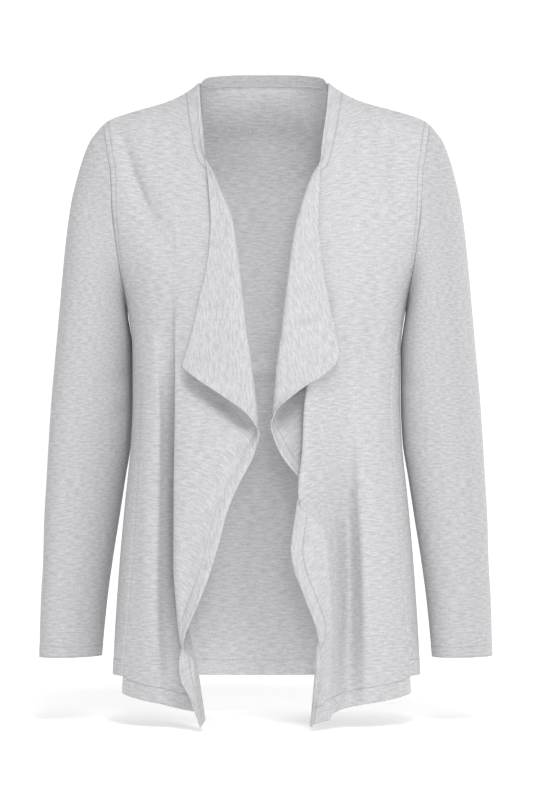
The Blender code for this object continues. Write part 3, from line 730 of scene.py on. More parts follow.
class FrontPanel:
    """One drape front, from the shoulder, armhole and side seams to its cascading edge."""

    # Radius of a fold, how near its neighbours the cloth is still flat, and the most of the
    # way to a neighbour that the fold takes up
    FOLD_RADIUS = 3.4
    FOLD_REACH = 7.0
    FOLD_SHARE = 0.42
    # Lift of the flap between its roll and its edge, and the share of the way where it is
    EDGE_BULGE = 1.0
    BULGE_PLACE = 0.6
    # Steps from the side to the last knot before the valley, where that knot lies, and how
    # close together the steps are at the side
    SIDE_STEPS = 30
    SIDE_END = 5.0 / 6.0
    SIDE_POWER = 1.8
    # Steps of the solid's own rows on the flank and in each stretch past it
    SOLID_SIDE_STEPS = 5.0
    SOLID_STEPS = 2.0
    ORDER = ("valley", "tuck", "ridge", "strip", "roll", "edge")
    # Steps from one knot of a row to the next, from the body to the free edge
    STEPS = (8, 8, 3, 3, 4, 3, 3, 8, 8, 4, 4, 14, 14)
    RIDGE_COLUMN = SIDE_STEPS + sum(STEPS[:6])
    ROLL_COLUMN = SIDE_STEPS + sum(STEPS[:10])
    EDGE_HEM = 13.5 * MM
    BOTTOM_HEM = 18.0 * MM
    # Columns at which creases stop before a fold and start past the roll, and over which
    # they blend in and out
    CREASE_STOP = 10.0
    CREASE_BLEND = 8.0
    STRIP_BLEND = 5.0
    FLAP_START = 4.0
    # Columns round the roll over which the pattern turns with the flap
    TURN_START = 6.0
    TURN_BLEND = 10.0
    # The edge is wider over the shoulder, down to a level
    NECK_WIDENING = 0.42
    NECK_LEVEL = 110.0
    # Courses hang lower towards the roll
    SAG = 0.022
    SAG_WIDTH = 0.022

    def __init__(self, shape: FrontShape) -> None:
        """Keep the shape that the front is made to."""
        self.shape = shape

    def _fold(self, line: np.ndarray, before: np.ndarray, after: np.ndarray,
              direction: int) -> list[np.ndarray]:
        """Three knots round a fold, which lie in line where the cloth isn't folded."""
        toward_before = np.clip((before[:, 0] - line[:, 0]) / self.FOLD_REACH, -1.0, 1.0)
        toward_after = np.clip((after[:, 0] - line[:, 0]) / self.FOLD_REACH, -1.0, 1.0)
        folded = np.maximum(0.0, toward_before * toward_after) * direction * self.FOLD_RADIUS
        knots = []
        for neighbour, shift in ((before, -folded), (after, folded)):
            span = np.maximum(np.linalg.norm(line - neighbour, axis=1), self.FOLD_RADIUS)
            step = np.minimum(self.FOLD_RADIUS / span, self.FOLD_SHARE)
            knot = between(line, neighbour, step[:, None])
            knot[:, 1] += shift
            knots.append(knot)
        return [knots[0], line, knots[1]]

    def _sections(self, levels: np.ndarray) -> np.ndarray:
        """Out and lift of every point, rows by columns by 2, in millimetres."""
        place = {name: np.stack((profile.at(levels, 1), profile.at(levels, 2)), axis=1)
                 for name, profile in self.shape.lines.items()}
        side_down = Rows.side_level(levels)
        side_out = np.where(side_down <= BodyForm.UNDERARM, BodyForm.SIDE.at(side_down),
                            BodyForm.turn_out(BodyForm.side_turn(side_down), side_down))
        share = (np.arange(self.SIDE_STEPS + 1) / self.SIDE_STEPS * self.SIDE_END)[None, :]
        valley = place["valley"][:, None]
        sunk = smooth((share - 1.0) / self.shape.valley_width + 1.0)
        flank = np.stack((
            between(side_out[:, None], valley[..., 0], share ** self.SIDE_POWER),
            valley[..., 1] * sunk), axis=-1)
        knots = [flank[:, -1], place["valley"]]
        for before, name, after in zip(self.ORDER, self.ORDER[1:], self.ORDER[2:]):
            if name in self.shape.folds:
                knots += self._fold(place[name], place[before], place[after],
                                    self.shape.folds[name])
            else:
                knots.append(place[name])
        bulge = between(place["roll"], place["edge"], self.BULGE_PLACE)
        bulge[:, 1] += self.EDGE_BULGE
        knots += [bulge, place["edge"]]
        folds = curve_through(np.stack(knots, axis=1), self.STEPS)
        return np.concatenate((flank[:, :-1], folds), axis=1)

    def cloth(self) -> Cloth:
        """Form the front with its folds, creases, seams and hems."""
        levels = Rows.levels()
        sections = self._sections(levels)
        out, lift = sections[..., 0], sections[..., 1]
        level = levels[:, None]
        share = self._row_share(out.shape[1])[None, :]
        x = self.shape.sign * out
        top = -BodyForm.shoulder_height(x)
        down = level + Rows.side_drop(level) * (1.0 - share) - Rows.hem_rise(level, share)
        settle = smooth((level - Rows.TOP) / Rows.SHOULDER_DEPTH)
        down = between(top + (level - Rows.TOP), down, settle)
        y = BodyForm.front_y(x, down) - lift
        cloth = Cloth(self.shape.name, np.stack((x, y, -down), axis=-1) * MM,
                      outward=-self.shape.sign)
        side_down = Rows.side_level(levels)[:, None]
        armhole = cloth.distance_from(
            cloth.marked(Side.FIRST, side_down <= BodyForm.UNDERARM))
        side = cloth.distance_from(cloth.marked(Side.FIRST, side_down >= BodyForm.UNDERARM))
        shoulder = cloth.distance_from(cloth.marked(Side.TOP))
        free = cloth.distance_from(cloth.marked(Side.LAST))
        free /= 1.0 + self.NECK_WIDENING * (1.0 - smooth(level / self.NECK_LEVEL))
        bottom = cloth.distance_from(cloth.marked(Side.BOTTOM))
        self._crease(cloth)
        Seam.press(cloth, shoulder)
        for seam in (armhole, side):
            Seam.press(cloth, seam, Seam.PRESSED)
        cloth.hem(free, self.EDGE_HEM)
        cloth.hem(bottom, self.BOTTOM_HEM)
        cloth.topstitch(armhole, Seam.TOPSTITCH)
        self._lay_pattern(cloth)
        self.lines = ((free, self.EDGE_HEM), (bottom, self.BOTTOM_HEM),
                      (armhole, Seam.TOPSTITCH))
        return cloth

    def _lay_pattern(self, cloth: Cloth) -> None:
        """Let the knit's courses hang lower towards the roll and turn with the flap."""
        column = np.arange(cloth.points.shape[1])[None, :]
        turning = smooth((column - self.ROLL_COLUMN + self.TURN_START) / self.TURN_BLEND)
        cloth.flap = np.broadcast_to(turning, cloth.points.shape[:2]).copy()
        roll = cloth.weave[:, self.ROLL_COLUMN, 0][:, None]
        to_roll = np.maximum(roll - cloth.weave[..., 0], 0.0)
        cloth.weave[..., 1] -= self.SAG * np.exp(-to_roll / self.SAG_WIDTH)
        lean = math.radians(self.shape.lean)
        streak = np.array((math.sin(lean), -math.cos(lean)))
        plane = cloth.points[..., (0, 2)]
        cloth.turned = np.stack((plane @ streak, plane @ (-streak[1], streak[0])), axis=-1)

    def _row_share(self, columns: int) -> np.ndarray:
        """Share of a row's way to the free edge at each column, as the frame counts it."""
        counts = [1.0 / self.SIDE_STEPS * self.SOLID_SIDE_STEPS] * self.SIDE_STEPS
        for steps in self.STEPS:
            counts += [self.SOLID_STEPS / steps] * steps
        shares = np.concatenate(([0.0], np.cumsum(counts)))
        return (shares / shares[-1])[:columns]

    def _crease(self, cloth: Cloth) -> None:
        """Lay the soft creases into the body, the strip and the flap."""
        column = np.arange(cloth.points.shape[1])[None, :]
        body = 1.0 - smooth((column - self.RIDGE_COLUMN + self.CREASE_STOP) / self.CREASE_BLEND)
        strip = smooth((column - self.RIDGE_COLUMN) / self.STRIP_BLEND) * (
            1.0 - smooth((column - self.ROLL_COLUMN + self.CREASE_STOP) / self.CREASE_BLEND))
        flap = smooth((column - self.ROLL_COLUMN - self.FLAP_START) / self.CREASE_BLEND)
        plane = np.stack((np.abs(cloth.points[..., 0]), -cloth.points[..., 2]), axis=-1)
        cloth.push(relief(self.shape.creases, plane) * body
                   + relief(self.shape.strip_creases, plane) * strip
                   - relief(self.shape.flap_creases, plane) * flap)


class BackPanel:
    """Back in one piece, from the shoulder seams and the neck to the hem."""

    # How far down the hem lies in the middle and at the side seams, and where the rows
    # start to draw together towards it
    HEM_MIDDLE = 679.0
    HEM_SEAM = 668.0
    HEM_START = 590.0
    # Depth over which the neck edge draws the cloth
    NECK_BLEND = 50.0
    # Share of the neck's half width that the band's flat stretch takes up
    BAND_REACH = 0.93
    SIDE_STEPS = 44
    CORNER_STEPS = 10
    NECK_STEPS = 28
    HEM = 18.0 * MM
    # Creases: across, down
    CREASES = (
        Crease(((-160, 60), (-148, 96), (-128, 150)), 19, -6.0),
        Crease(((156, 60), (146, 96), (130, 154), (116, 196)), 17, -5.6),
        Crease(((-92, 96), (-86, 178), (-94, 262)), 36, -5.2),
        Crease(((62, 118), (72, 214), (64, 306)), 30, -4.8),
        Crease(((-78, 292), (-22, 326), (38, 318)), 20, -4.8),
        Crease(((18, 358), (70, 344), (116, 318)), 17, -4.0),
        Crease(((-134, 308), (-96, 342), (-62, 352)), 16, -4.2),
        Crease(((-116, 396), (-104, 530), (-114, 700)), 28, 6.4),
        Crease(((-70, 440), (-62, 560), (-72, 710)), 28, -5.8),
        Crease(((84, 420), (95, 560), (86, 700)), 26, 6.0),
        Crease(((-18, 450), (-8, 566), (-22, 710)), 32, 4.6),
        Crease(((40, 470), (46, 570), (38, 710)), 24, -5.2),
    )

    @classmethod
    def top(cls, x: np.ndarray) -> tuple[np.ndarray, np.ndarray]:
        """Top edge of the back at distances from the middle: y, z."""
        half = BodyForm.neck_half(x)
        height = BodyForm.shoulder_height(x)
        seam_y = BodyForm.side_y(-height)
        _, y, z = BodyForm.neck_seam(np.clip(x / half, -1.0, 1.0))
        step = smooth((half - np.abs(x)) / (half * (1.0 - cls.BAND_REACH)))
        return between(seam_y, y, step), between(height, z, step)

    @classmethod
    def shares(cls, sign: int) -> np.ndarray:
        """Shares from one side to the middle, close together at the end of the neck."""
        half_width = BodyForm.TRUNK.at(0.0, BodyForm.HALF_WIDTH)
        power = BodyForm.SECTION_POWER / 2.0
        start = float(BodyForm.side_turn(np.array(BodyForm.ARMHOLE_TOP)))
        half = float(BodyForm.neck_half(sign))
        marks = [(math.acos((reach * half / half_width) ** power) - start)
                 / (math.pi / 2.0 - start) for reach in (1.0, cls.BAND_REACH)]
        return np.concatenate((
            np.linspace(0.0, marks[0], cls.SIDE_STEPS, endpoint=False),
            np.linspace(marks[0], marks[1], cls.CORNER_STEPS, endpoint=False),
            np.linspace(marks[1], 1.0, cls.NECK_STEPS + 1)))

    def _half(self, sign: int, levels: np.ndarray) -> np.ndarray:
        """Points of one half, from the side to the middle, in millimetres."""
        side_down = Rows.side_level(levels)
        lowest = side_down[-1]
        fall = ((side_down - BodyForm.ARMHOLE_TOP) / (lowest - BodyForm.ARMHOLE_TOP))[:, None]
        side_down = side_down - (lowest - self.HEM_SEAM) * smooth(
            (side_down - self.HEM_START) / (lowest - self.HEM_START))
        side_down = side_down[:, None]
        share = self.shares(sign)[None, :]
        turn = between(BodyForm.side_turn(side_down), math.pi / 2.0, share)
        x = sign * BodyForm.turn_out(turn, side_down)
        top_y, top_z = self.top(x)
        down = between(side_down, between(-top_z, self.HEM_MIDDLE, fall), smooth(share))
        settle = smooth((side_down - BodyForm.ARMHOLE_TOP) / Rows.SHOULDER_DEPTH)
        down = between(-top_z + (side_down - BodyForm.ARMHOLE_TOP), down, settle)
        y = np.where(turn < 0.0, BodyForm.front_y(x, down), BodyForm.back_y(x, down))
        hold = 1.0 - smooth((down + top_z) / self.NECK_BLEND)
        y = y + hold * (top_y - BodyForm.back_y(x, -top_z))
        return np.stack((x, y, -down), axis=-1)

    def cloth(self) -> Cloth:
        """Form the back with its creases, seams and hem."""
        levels = Rows.levels()
        right, left = self._half(-1, levels), self._half(1, levels)
        points = np.concatenate((right, left[:, -2::-1]), axis=1)
        cloth = Cloth("back", points * MM, outward=-1)
        sides = cloth.marked(Side.FIRST) | cloth.marked(Side.LAST)
        above = (Rows.side_level(levels) <= BodyForm.UNDERARM)[:, None]
        shoulder = cloth.distance_from(cloth.marked(Side.TOP))
        armhole = cloth.distance_from(sides & above)
        side = cloth.distance_from(sides & ~above)
        bottom = cloth.distance_from(cloth.marked(Side.BOTTOM))
        plane = cloth.points[..., (0, 2)] * (1.0, -1.0)
        cloth.push(relief(self.CREASES, plane))
        Seam.press(cloth, shoulder)
        for seam in (armhole, side):
            Seam.press(cloth, seam, Seam.PRESSED)
        cloth.hem(bottom, self.HEM)
        cloth.topstitch(armhole, Seam.TOPSTITCH)
        self.lines = ((bottom, self.HEM), (armhole, Seam.TOPSTITCH))
        return cloth


class NeckBand:
    """Band that stands on the back neck seam between the two front edges."""

    HEIGHT = 11.5
    # Gap at the seam, and the share of the neck's half width at which the band ends
    SEAM = 0.2
    END = 0.999
    # Share of the height that is lost at the ends, and the power that the loss grows by
    END_ROUNDING = 0.7
    END_POWER = 24
    # How far the band leans forward for each unit up
    LEAN = 0.2
    # More than the height, so that the whole band is double
    DOUBLED = 30.0 * MM
    STITCH_PLACE = 2.0 * MM
    ROWS = 14
    STEPS = 60

    def cloth(self) -> Cloth:
        """Form the band as two layers of jersey, folded over at its top."""
        share = np.sin(np.linspace(-1.0, 1.0, 2 * self.STEPS + 1) * math.pi / 2.0) * self.END
        height = self.SEAM + self.HEIGHT * (1.0 - np.arange(self.ROWS + 1) / self.ROWS)
        x, y, z = BodyForm.neck_seam(share[None, :])
        height = height[:, None] * (
            1.0 - self.END_ROUNDING * np.abs(share[None, :]) ** self.END_POWER)
        points = np.stack((np.broadcast_to(x, height.shape),
                           y - self.LEAN * height, z + height), axis=-1)
        cloth = Cloth("neck_band", points * MM, outward=-1)
        seam = cloth.distance_from(cloth.marked(Side.BOTTOM))
        top = cloth.distance_from(cloth.marked(Side.TOP))
        cloth.hem(top, self.DOUBLED)
        self.lines = ((seam, self.STITCH_PLACE),)
        return cloth


class Sleeve:
    """Long set-in sleeve, an open tube from the armhole to the cuff."""

    CUFF_DOWN = 649.0
    # Share of the way down, half depth front to back, y of the middle line
    DEPTH = Profile(((0.0, 56, 7), (0.12, 54, 8), (0.3, 50, 8), (0.5, 45, 5), (0.75, 40, -3),
                     (1.0, 35, -12)))
    # Outer and inner line of the sleeve: down, out
    OUTER = Profile(((42, 187), (60, 201), (82, 210), (105, 216.5), (128, 222), (174, 228.5),
                     (220, 233), (266, 237), (311, 241), (357, 245), (403, 248),
                     (449, 250.5), (495, 253), (540, 254), (586, 256.5), (649, 258)))
    INNER = Profile(((247, 160), (262, 158.8), (274, 156.9), (301, 154), (357, 154),
                     (403, 156), (449, 163), (495, 170), (540, 177), (586, 183), (649, 189)))
    ROWS = 210
    ROW_POWER = 1.2
    COLUMNS = 108
    # Share of the way down over which the armhole's form fades into the oval
    HEAD = 0.22
    # Seam gap at the armhole: out, down
    START = (0.34, 0.2)
    HEM = 12.0 * MM
    # How far the section falls back towards the body, for each unit across it
    SHEAR = {-1: 0.45, 1: -0.28}
    # Width over which a crease's path is measured round the sleeve, from its outer line
    GIRTH = 270.0 * MM

    def __init__(self, name: str, sign: int, creases: tuple[Crease, ...]) -> None:
        """Keep the sleeve's name, its side and its creases."""
        self.name = name
        self.sign = sign
        self.creases = creases

    @staticmethod
    def _armhole(turn: np.ndarray) -> np.ndarray:
        """Armhole edge, 0 at the shoulder and half a turn at the underarm: out, y, z."""
        down = between(BodyForm.ARMHOLE_TOP, BodyForm.UNDERARM, (1.0 - np.cos(turn)) / 2.0)
        out = BodyForm.SIDE.at(down)
        y = np.where(turn <= math.pi, BodyForm.front_y(-out, down),
                     BodyForm.back_y(-out, down))
        return np.stack((out, y, -down), axis=-1)

    def _oval(self, share: np.ndarray, turn: np.ndarray) -> np.ndarray:
        """Oval section of the sleeve at a share of the way down: out, y, z."""
        outer_down = between(BodyForm.ARMHOLE_TOP, self.CUFF_DOWN, share)
        inner_down = between(BodyForm.UNDERARM, self.CUFF_DOWN, share)
        swing = (1.0 - np.cos(turn)) / 2.0
        out = between(self.OUTER.at(outer_down), self.INNER.at(inner_down), swing)
        half = (self.OUTER.at(outer_down) - self.INNER.at(inner_down)) / 2.0
        y = (self.DEPTH.at(share, 2) - self.DEPTH.at(share, 1) * np.sin(turn)
             - self.SHEAR[self.sign] * half * np.cos(turn))
        return np.stack((out, y, -between(outer_down, inner_down, swing)), axis=-1)

    def cloth(self) -> Cloth:
        """Form the sleeve with its creases, its seam and its hem."""
        share = ((np.arange(self.ROWS + 1) / self.ROWS) ** self.ROW_POWER)[:, None]
        turn = (np.arange(self.COLUMNS + 1) / self.COLUMNS * 2.0 * math.pi)[None, :]
        hold = (1.0 - smooth(share / self.HEAD))[..., None]
        points = self._oval(share, turn) + hold * (self._armhole(turn)
                                                   - self._oval(np.zeros((1, 1)), turn))
        points[..., 0] += self.START[0] * hold[..., 0]
        points[..., 2] -= self.START[1] * hold[..., 0]
        points[..., 0] *= self.sign
        points[:, -1] = points[:, 0]
        cloth = Cloth(self.name, points * MM, outward=-self.sign, closed=True)
        armhole = cloth.distance_from(cloth.marked(Side.TOP))
        cuff = cloth.distance_from(cloth.marked(Side.BOTTOM))
        girth = np.broadcast_to(turn / (2.0 * math.pi) * self.GIRTH, points.shape[:2])
        plane = np.stack((girth, -cloth.points[..., 2]), axis=-1)
        cloth.push(relief(self.creases, plane))
        Seam.press(cloth, armhole, Seam.PRESSED)
        cloth.points[:, -1] = cloth.points[:, 0]
        cloth.hem(cuff, self.HEM)
        self.lines = ((cuff, self.HEM),)
        return cloth


# Creases of the sleeves: distance round from the outer line, down
RIGHT_SLEEVE = (
    Crease(((48, 54), (69, 81), (88, 102), (105, 129), (118, 156), (127, 196), (131, 240)),
           17, -6.0),
    Crease(((60, 120), (66, 190), (72, 262)), 30, 1.5),
    Crease(((124, 318), (96, 336), (62, 340)), 20, -1.5),
    Crease(((122, 366), (100, 374), (74, 394)), 16, -1.0),
    Crease(((212, 78), (196, 120), (176, 176)), 20, -4.6),
    Crease(((146, 306), (178, 322), (214, 318)), 18, -3.0),
    Crease(((150, 352), (176, 372), (198, 374)), 15, -2.2),
    Crease(((208, 430), (204, 510), (212, 590)), 30, 1.2),
)
LEFT_SLEEVE = (
    Crease(((54, 58), (76, 92), (93, 130), (108, 170), (118, 214)), 18, -4.6),
    Crease(((64, 130), (70, 200), (78, 280)), 30, 1.3),
    Crease(((122, 330), (98, 342), (70, 340)), 18, -1.3),
    Crease(((118, 392), (92, 398), (60, 418)), 20, -1.1),
    Crease(((210, 74), (192, 128), (174, 190)), 21, -4.4),
    Crease(((148, 322), (186, 332), (216, 324)), 17, -2.8),
    Crease(((152, 376), (182, 398), (206, 396)), 15, -2.2),
    Crease(((200, 450), (206, 530), (202, 600)), 28, 1.1),
)


def read_along(stops: np.ndarray, travel: np.ndarray, values: np.ndarray) -> np.ndarray:
    """Read each column of a line's values at stops along the line."""
    return np.stack([np.interp(stops, travel, column) for column in values.T], axis=1)


class Stitching:
    """Lines of short stitches on the outer face of the cloth."""

    LENGTH = 2.3 * MM
    PITCH = 3.0 * MM
    RADIUS = 0.24 * MM
    # Height of the thread for each unit of its width, and the share of it that is sunk
    FLATNESS = 0.8
    SUNK = 0.1
    # Lines of fewer stitches than this are left out
    FEWEST = 4.0

    def __init__(self, material: bpy.types.Material) -> None:
        """Model one stitch, which every line repeats."""
        bpy.ops.object.select_all(action="DESELECT")
        bpy.ops.mesh.primitive_uv_sphere_add(segments=6, ring_count=4, radius=1.0)
        stitch = bpy.context.active_object
        stitch.scale = (self.RADIUS, self.RADIUS * self.FLATNESS, self.LENGTH / 2.0)
        bpy.ops.object.transform_apply(location=False, rotation=False, scale=True)
        mesh = stitch.data
        self.points = np.array([vertex.co for vertex in mesh.vertices])
        self.faces = [tuple(polygon.vertices) for polygon in mesh.polygons]
        bpy.data.objects.remove(stitch)
        self.material = material

    def sew(self, cloth: Cloth, lines: Iterable[tuple[np.ndarray, float]],
            name: str) -> bpy.types.Object:
        """Sew lines of stitches on a cloth.

        Args:
            cloth: Cloth that carries the stitches.
            lines: Distance fields with the distance at which each line runs.
            name: Name of the new piece.

        Returns:
            The stitches as one object.
        """
        normals = cloth.normals()
        vertices, faces = [], []
        for values, level in lines:
            for line in cloth.isolines(values, level):
                places = cloth.read(cloth.points, line)
                upward = cloth.read(normals, line)
                walls = cloth.read(cloth.wall[..., None], line)[:, 0]
                spans = np.linalg.norm(np.diff(places, axis=0), axis=1)
                travel = np.concatenate(([0.0], np.cumsum(spans)))
                if travel[-1] < self.FEWEST * self.PITCH:
                    continue
                half = self.PITCH / 2.0
                stops = np.arange(half, travel[-1], self.PITCH)
                ahead = (read_along(stops + half, travel, places)
                         - read_along(stops - half, travel, places))
                for place, along, normal, rise in zip(
                        read_along(stops, travel, places), ahead,
                        read_along(stops, travel, upward),
                        np.interp(stops, travel, walls) / 2.0):
                    self._add(vertices, faces, place, along, normal, rise)
        mesh = bpy.data.meshes.new(name)
        mesh.from_pydata(np.concatenate(vertices).tolist(), [], faces)
        mesh.materials.append(self.material)
        mesh.shade_smooth()
        piece = bpy.data.objects.new(name, mesh)
        bpy.context.scene.collection.objects.link(piece)
        return piece

    def _add(self, vertices: list, faces: list, place: np.ndarray, along: np.ndarray,
             normal: np.ndarray, rise: float) -> None:
        """Add one stitch on the outer face."""
        along = along / max(np.linalg.norm(along), 1e-9)
        side = np.cross(normal, along)
        side /= max(np.linalg.norm(side), 1e-9)
        up = np.cross(along, side)
        basis = np.stack((side, up, along))
        start = len(vertices) * len(self.points)
        centre = place + up * (rise - self.RADIUS * self.SUNK)
        vertices.append(self.points @ basis + centre)
        faces.extend(tuple(index + start for index in polygon) for polygon in self.faces)


class Signal:
    """Number or colour on its way through a material's nodes."""

    def __init__(self, nodes: "Shader", socket: bpy.types.NodeSocket) -> None:
        """Keep the material and the socket that gives the value."""
        self.nodes = nodes
        self.socket = socket

    def _maths(self, operation: str, *others: "Signal | float") -> "Signal":
        """Work out a new number from this one and others."""
        return self.nodes.add("ShaderNodeMath", {"operation": operation}, (self, *others))

    def __add__(self, other: "Signal | float") -> "Signal":
        """Add."""
        return self._maths("ADD", other)

    def __radd__(self, other: float) -> "Signal":
        """Add to a number."""
        return self + other

    def __sub__(self, other: "Signal | float") -> "Signal":
        """Subtract."""
        return self._maths("SUBTRACT", other)

    def __rsub__(self, other: float) -> "Signal":
        """Subtract from a number."""
        return self * -1.0 + other

    def __mul__(self, other: "Signal | float") -> "Signal":
        """Multiply."""
        return self._maths("MULTIPLY", other)

    def __rmul__(self, other: float) -> "Signal":
        """Multiply a number."""
        return self * other

    def __abs__(self) -> "Signal":
        """Size without sign."""
        return self._maths("ABSOLUTE")

    def bell(self, centre: float, width: float) -> "Signal":
        """1 at a centre, fading to 0 at a width from it."""
        share = abs(self - centre)._maths("DIVIDE", width)
        return self.nodes.add("ShaderNodeMath", {"operation": "SUBTRACT", "use_clamp": True},
                              (1.0, share))


class Shader:
    """Material under construction, with one Principled shader."""

    SHEEN_ROUGHNESS = 0.5
    SPECULAR = 0.25

    def __init__(self, name: str, colour: tuple[float, float, float], roughness: float,
                 sheen: float = 0.0) -> None:
        """Start a material with what is the same all over its surface."""
        self.material = bpy.data.materials.new(name)
        self.material.use_nodes = True
        self.tree = self.material.node_tree
        self.surface = self.tree.nodes["Principled BSDF"]
        self.surface.inputs["Base Color"].default_value = (*colour, 1.0)
        self.surface.inputs["Roughness"].default_value = roughness
        self.surface.inputs["Sheen Weight"].default_value = sheen
        self.surface.inputs["Sheen Roughness"].default_value = self.SHEEN_ROUGHNESS
        self.surface.inputs["Specular IOR Level"].default_value = self.SPECULAR
        self.material.diffuse_color = (*colour, 1.0)

    def add(self, kind: str, settings: dict, inputs: Sequence | dict, output: int | str = 0
            ) -> Signal:
        """Add a node.

        Args:
            kind: Type of the node.
            settings: Values for the node's own properties.
            inputs: Values or signals for its inputs, in order or by name.
            output: The output that the signal is read from.

        Returns:
            The signal that the node gives.
        """
        node = self.tree.nodes.new(kind)
        for name, value in settings.items():
            setattr(node, name, value)
        pairs = inputs.items() if isinstance(inputs, dict) else enumerate(inputs)
        for key, value in pairs:
            if isinstance(value, Signal):
                self.tree.links.new(value.socket, node.inputs[key])
            else:
                node.inputs[key].default_value = value
        return Signal(self, node.outputs[output])

    def finish(self, **links: Signal) -> bpy.types.Material:
        """Join signals to the shader's inputs, named with _ for a space."""
        for name, signal in links.items():
            self.tree.links.new(signal.socket, self.surface.inputs[name.replace("_", " ")])
        return self.material


@dataclass(frozen=True)
class MelangeJersey:
    """Single jersey knitted from light and dark grey fibres, streaked along its courses.

    Attributes:
        light: Colour of the lightest streaks.
        dark: Colour of the darkest streaks.
        roughness: Roughness all over.
        sheen: Weight of the soft sheen of the fibres.
        streak_length: Length of a streak along a course, in metres.
        streak_height: Height of a streak, in metres.
        streak_detail: Octaves of finer streaks.
        streak_fineness: Strength of each octave against the one before.
        streak_share: Part of the streaks in the pattern, where the rest is grain.
        grain: Height of a grain, in metres.
        grain_shape: Height of a grain for each unit of its length.
        spread: Values of the pattern that give the dark and the light colour.
        groove: Distance from a line of stitches at which its groove ends, in metres.
        groove_painted_shade: Painted shade in the stitch groove: how much darker the groove is, 1
            for the whole way to dark.
        knit_relief: Height of the pattern in the bump.
        groove_relief: Depth of the groove in the bump.
        bump: Strength of the bump.
        bump_height: Height that the bump gives to a value of 1, in metres.
    """

    light: tuple[float, float, float] = (0.645, 0.645, 0.655)
    dark: tuple[float, float, float] = (0.46, 0.46, 0.475)
    roughness: float = 0.9
    sheen: float = 0.15
    streak_length: float = 0.0115
    streak_height: float = 0.0021
    streak_detail: float = 3.0
    streak_fineness: float = 0.62
    streak_share: float = 0.65
    grain: float = 0.0009
    grain_shape: float = 0.35
    spread: tuple[float, float] = (0.34, 0.66)
    groove: float = 0.0013
    # Painted shade in the groove along the stitches
    groove_painted_shade: float = 0.65
    knit_relief: float = 0.25
    groove_relief: float = 1.2
    bump: float = 0.5
    bump_height: float = 0.0006

    def _streaks(self, shader: Shader, weave: Signal) -> Signal:
        """Streaks and grain of the yarn at places of the weave, about 0.5 on average."""
        scaled = shader.add("ShaderNodeVectorMath", {"operation": "MULTIPLY"},
                            (weave, (1.0 / self.streak_length, 1.0 / self.streak_height, 0.0)))
        streaks = shader.add("ShaderNodeTexNoise", {"noise_dimensions": "2D"},
                             {"Vector": scaled, "Scale": 1.0, "Detail": self.streak_detail,
                              "Roughness": self.streak_fineness})
        fine = shader.add("ShaderNodeVectorMath", {"operation": "MULTIPLY"},
                          (weave, (self.grain_shape / self.grain, 1.0 / self.grain, 0.0)))
        grain = shader.add("ShaderNodeTexNoise", {"noise_dimensions": "2D"},
                           {"Vector": fine, "Scale": 1.0, "Detail": 1.0, "Roughness": 0.5})
        return streaks * self.streak_share + grain * (1.0 - self.streak_share)

    def make(self, name: str) -> bpy.types.Material:
        """Make the material."""
        shader = Shader(name, self.light, self.roughness, self.sheen)
        weave = shader.add("ShaderNodeUVMap", {"uv_map": "weave"}, ())
        turned = shader.add("ShaderNodeUVMap", {"uv_map": "turned"}, ())
        flap = shader.add("ShaderNodeAttribute", {"attribute_name": "flap"}, (), "Fac")
        stitch = shader.add("ShaderNodeAttribute", {"attribute_name": "stitch"}, (), "Fac")
        body_tone = self._streaks(shader, weave)
        flap_tone = self._streaks(shader, turned)
        tone = body_tone + (flap_tone - body_tone) * flap
        contrast = shader.add("ShaderNodeMapRange", {},
                              {"Value": tone, "From Min": self.spread[0],
                               "From Max": self.spread[1]})
        # The colour darkens along each line of stitches: painted shade in the groove, which the
        # bump also sinks
        groove = stitch.bell(0.0, self.groove) * (1.0 - flap)
        colour = shader.add("ShaderNodeMix", {"data_type": "RGBA"},
                            {0: contrast - groove * self.groove_painted_shade}, 2)
        mix = colour.socket.node
        mix.inputs[6].default_value = (*self.dark, 1.0)
        mix.inputs[7].default_value = (*self.light, 1.0)
        height = tone * self.knit_relief - groove * self.groove_relief
        bump = shader.add("ShaderNodeBump", {}, {"Height": height, "Strength": self.bump,
                                                 "Distance": self.bump_height})
        return shader.finish(Base_Color=colour, Normal=bump)


@dataclass(frozen=True)
class SewingThread:
    """Polyester thread a shade darker than the cloth."""

    colour: tuple[float, float, float] = (0.4, 0.4, 0.41)
    roughness: float = 0.7
    twist: float = 2500.0
    bump: float = 0.3
    bump_height: float = 0.0001

    def make(self) -> bpy.types.Material:
        """Make the material."""
        shader = Shader("sewing_thread", self.colour, self.roughness)
        place = shader.add("ShaderNodeTexCoord", {}, (), "Object")
        twist = shader.add("ShaderNodeTexNoise", {}, {"Vector": place, "Scale": self.twist})
        bump = shader.add("ShaderNodeBump", {}, {"Height": twist, "Strength": self.bump,
                                                 "Distance": self.bump_height})
        return shader.finish(Normal=bump)


@dataclass(frozen=True)
class Lamp:
    """Soft round lamp that is aimed at the coat.

    Attributes:
        name: Name of the lamp.
        place: Where it hangs.
        size: Its width.
        level: Brightness that it gives a white card that faces it at the coat, 1 for white.
    """

    name: str
    place: tuple[float, float, float]
    size: float
    level: float

    def hang(self, aim: Vector) -> None:
        """Hang the lamp and turn it to its aim."""
        lamp = bpy.data.lights.new(self.name, "AREA")
        lamp.shape = "DISK"
        lamp.size = self.size
        holder = bpy.data.objects.new(self.name, lamp)
        holder.location = self.place
        towards = aim - holder.location
        lamp.energy = self.level * (math.pi * towards.length) ** 2
        holder.rotation_euler = towards.to_track_quat("-Z", "Y").to_euler()
        bpy.context.scene.collection.objects.link(holder)


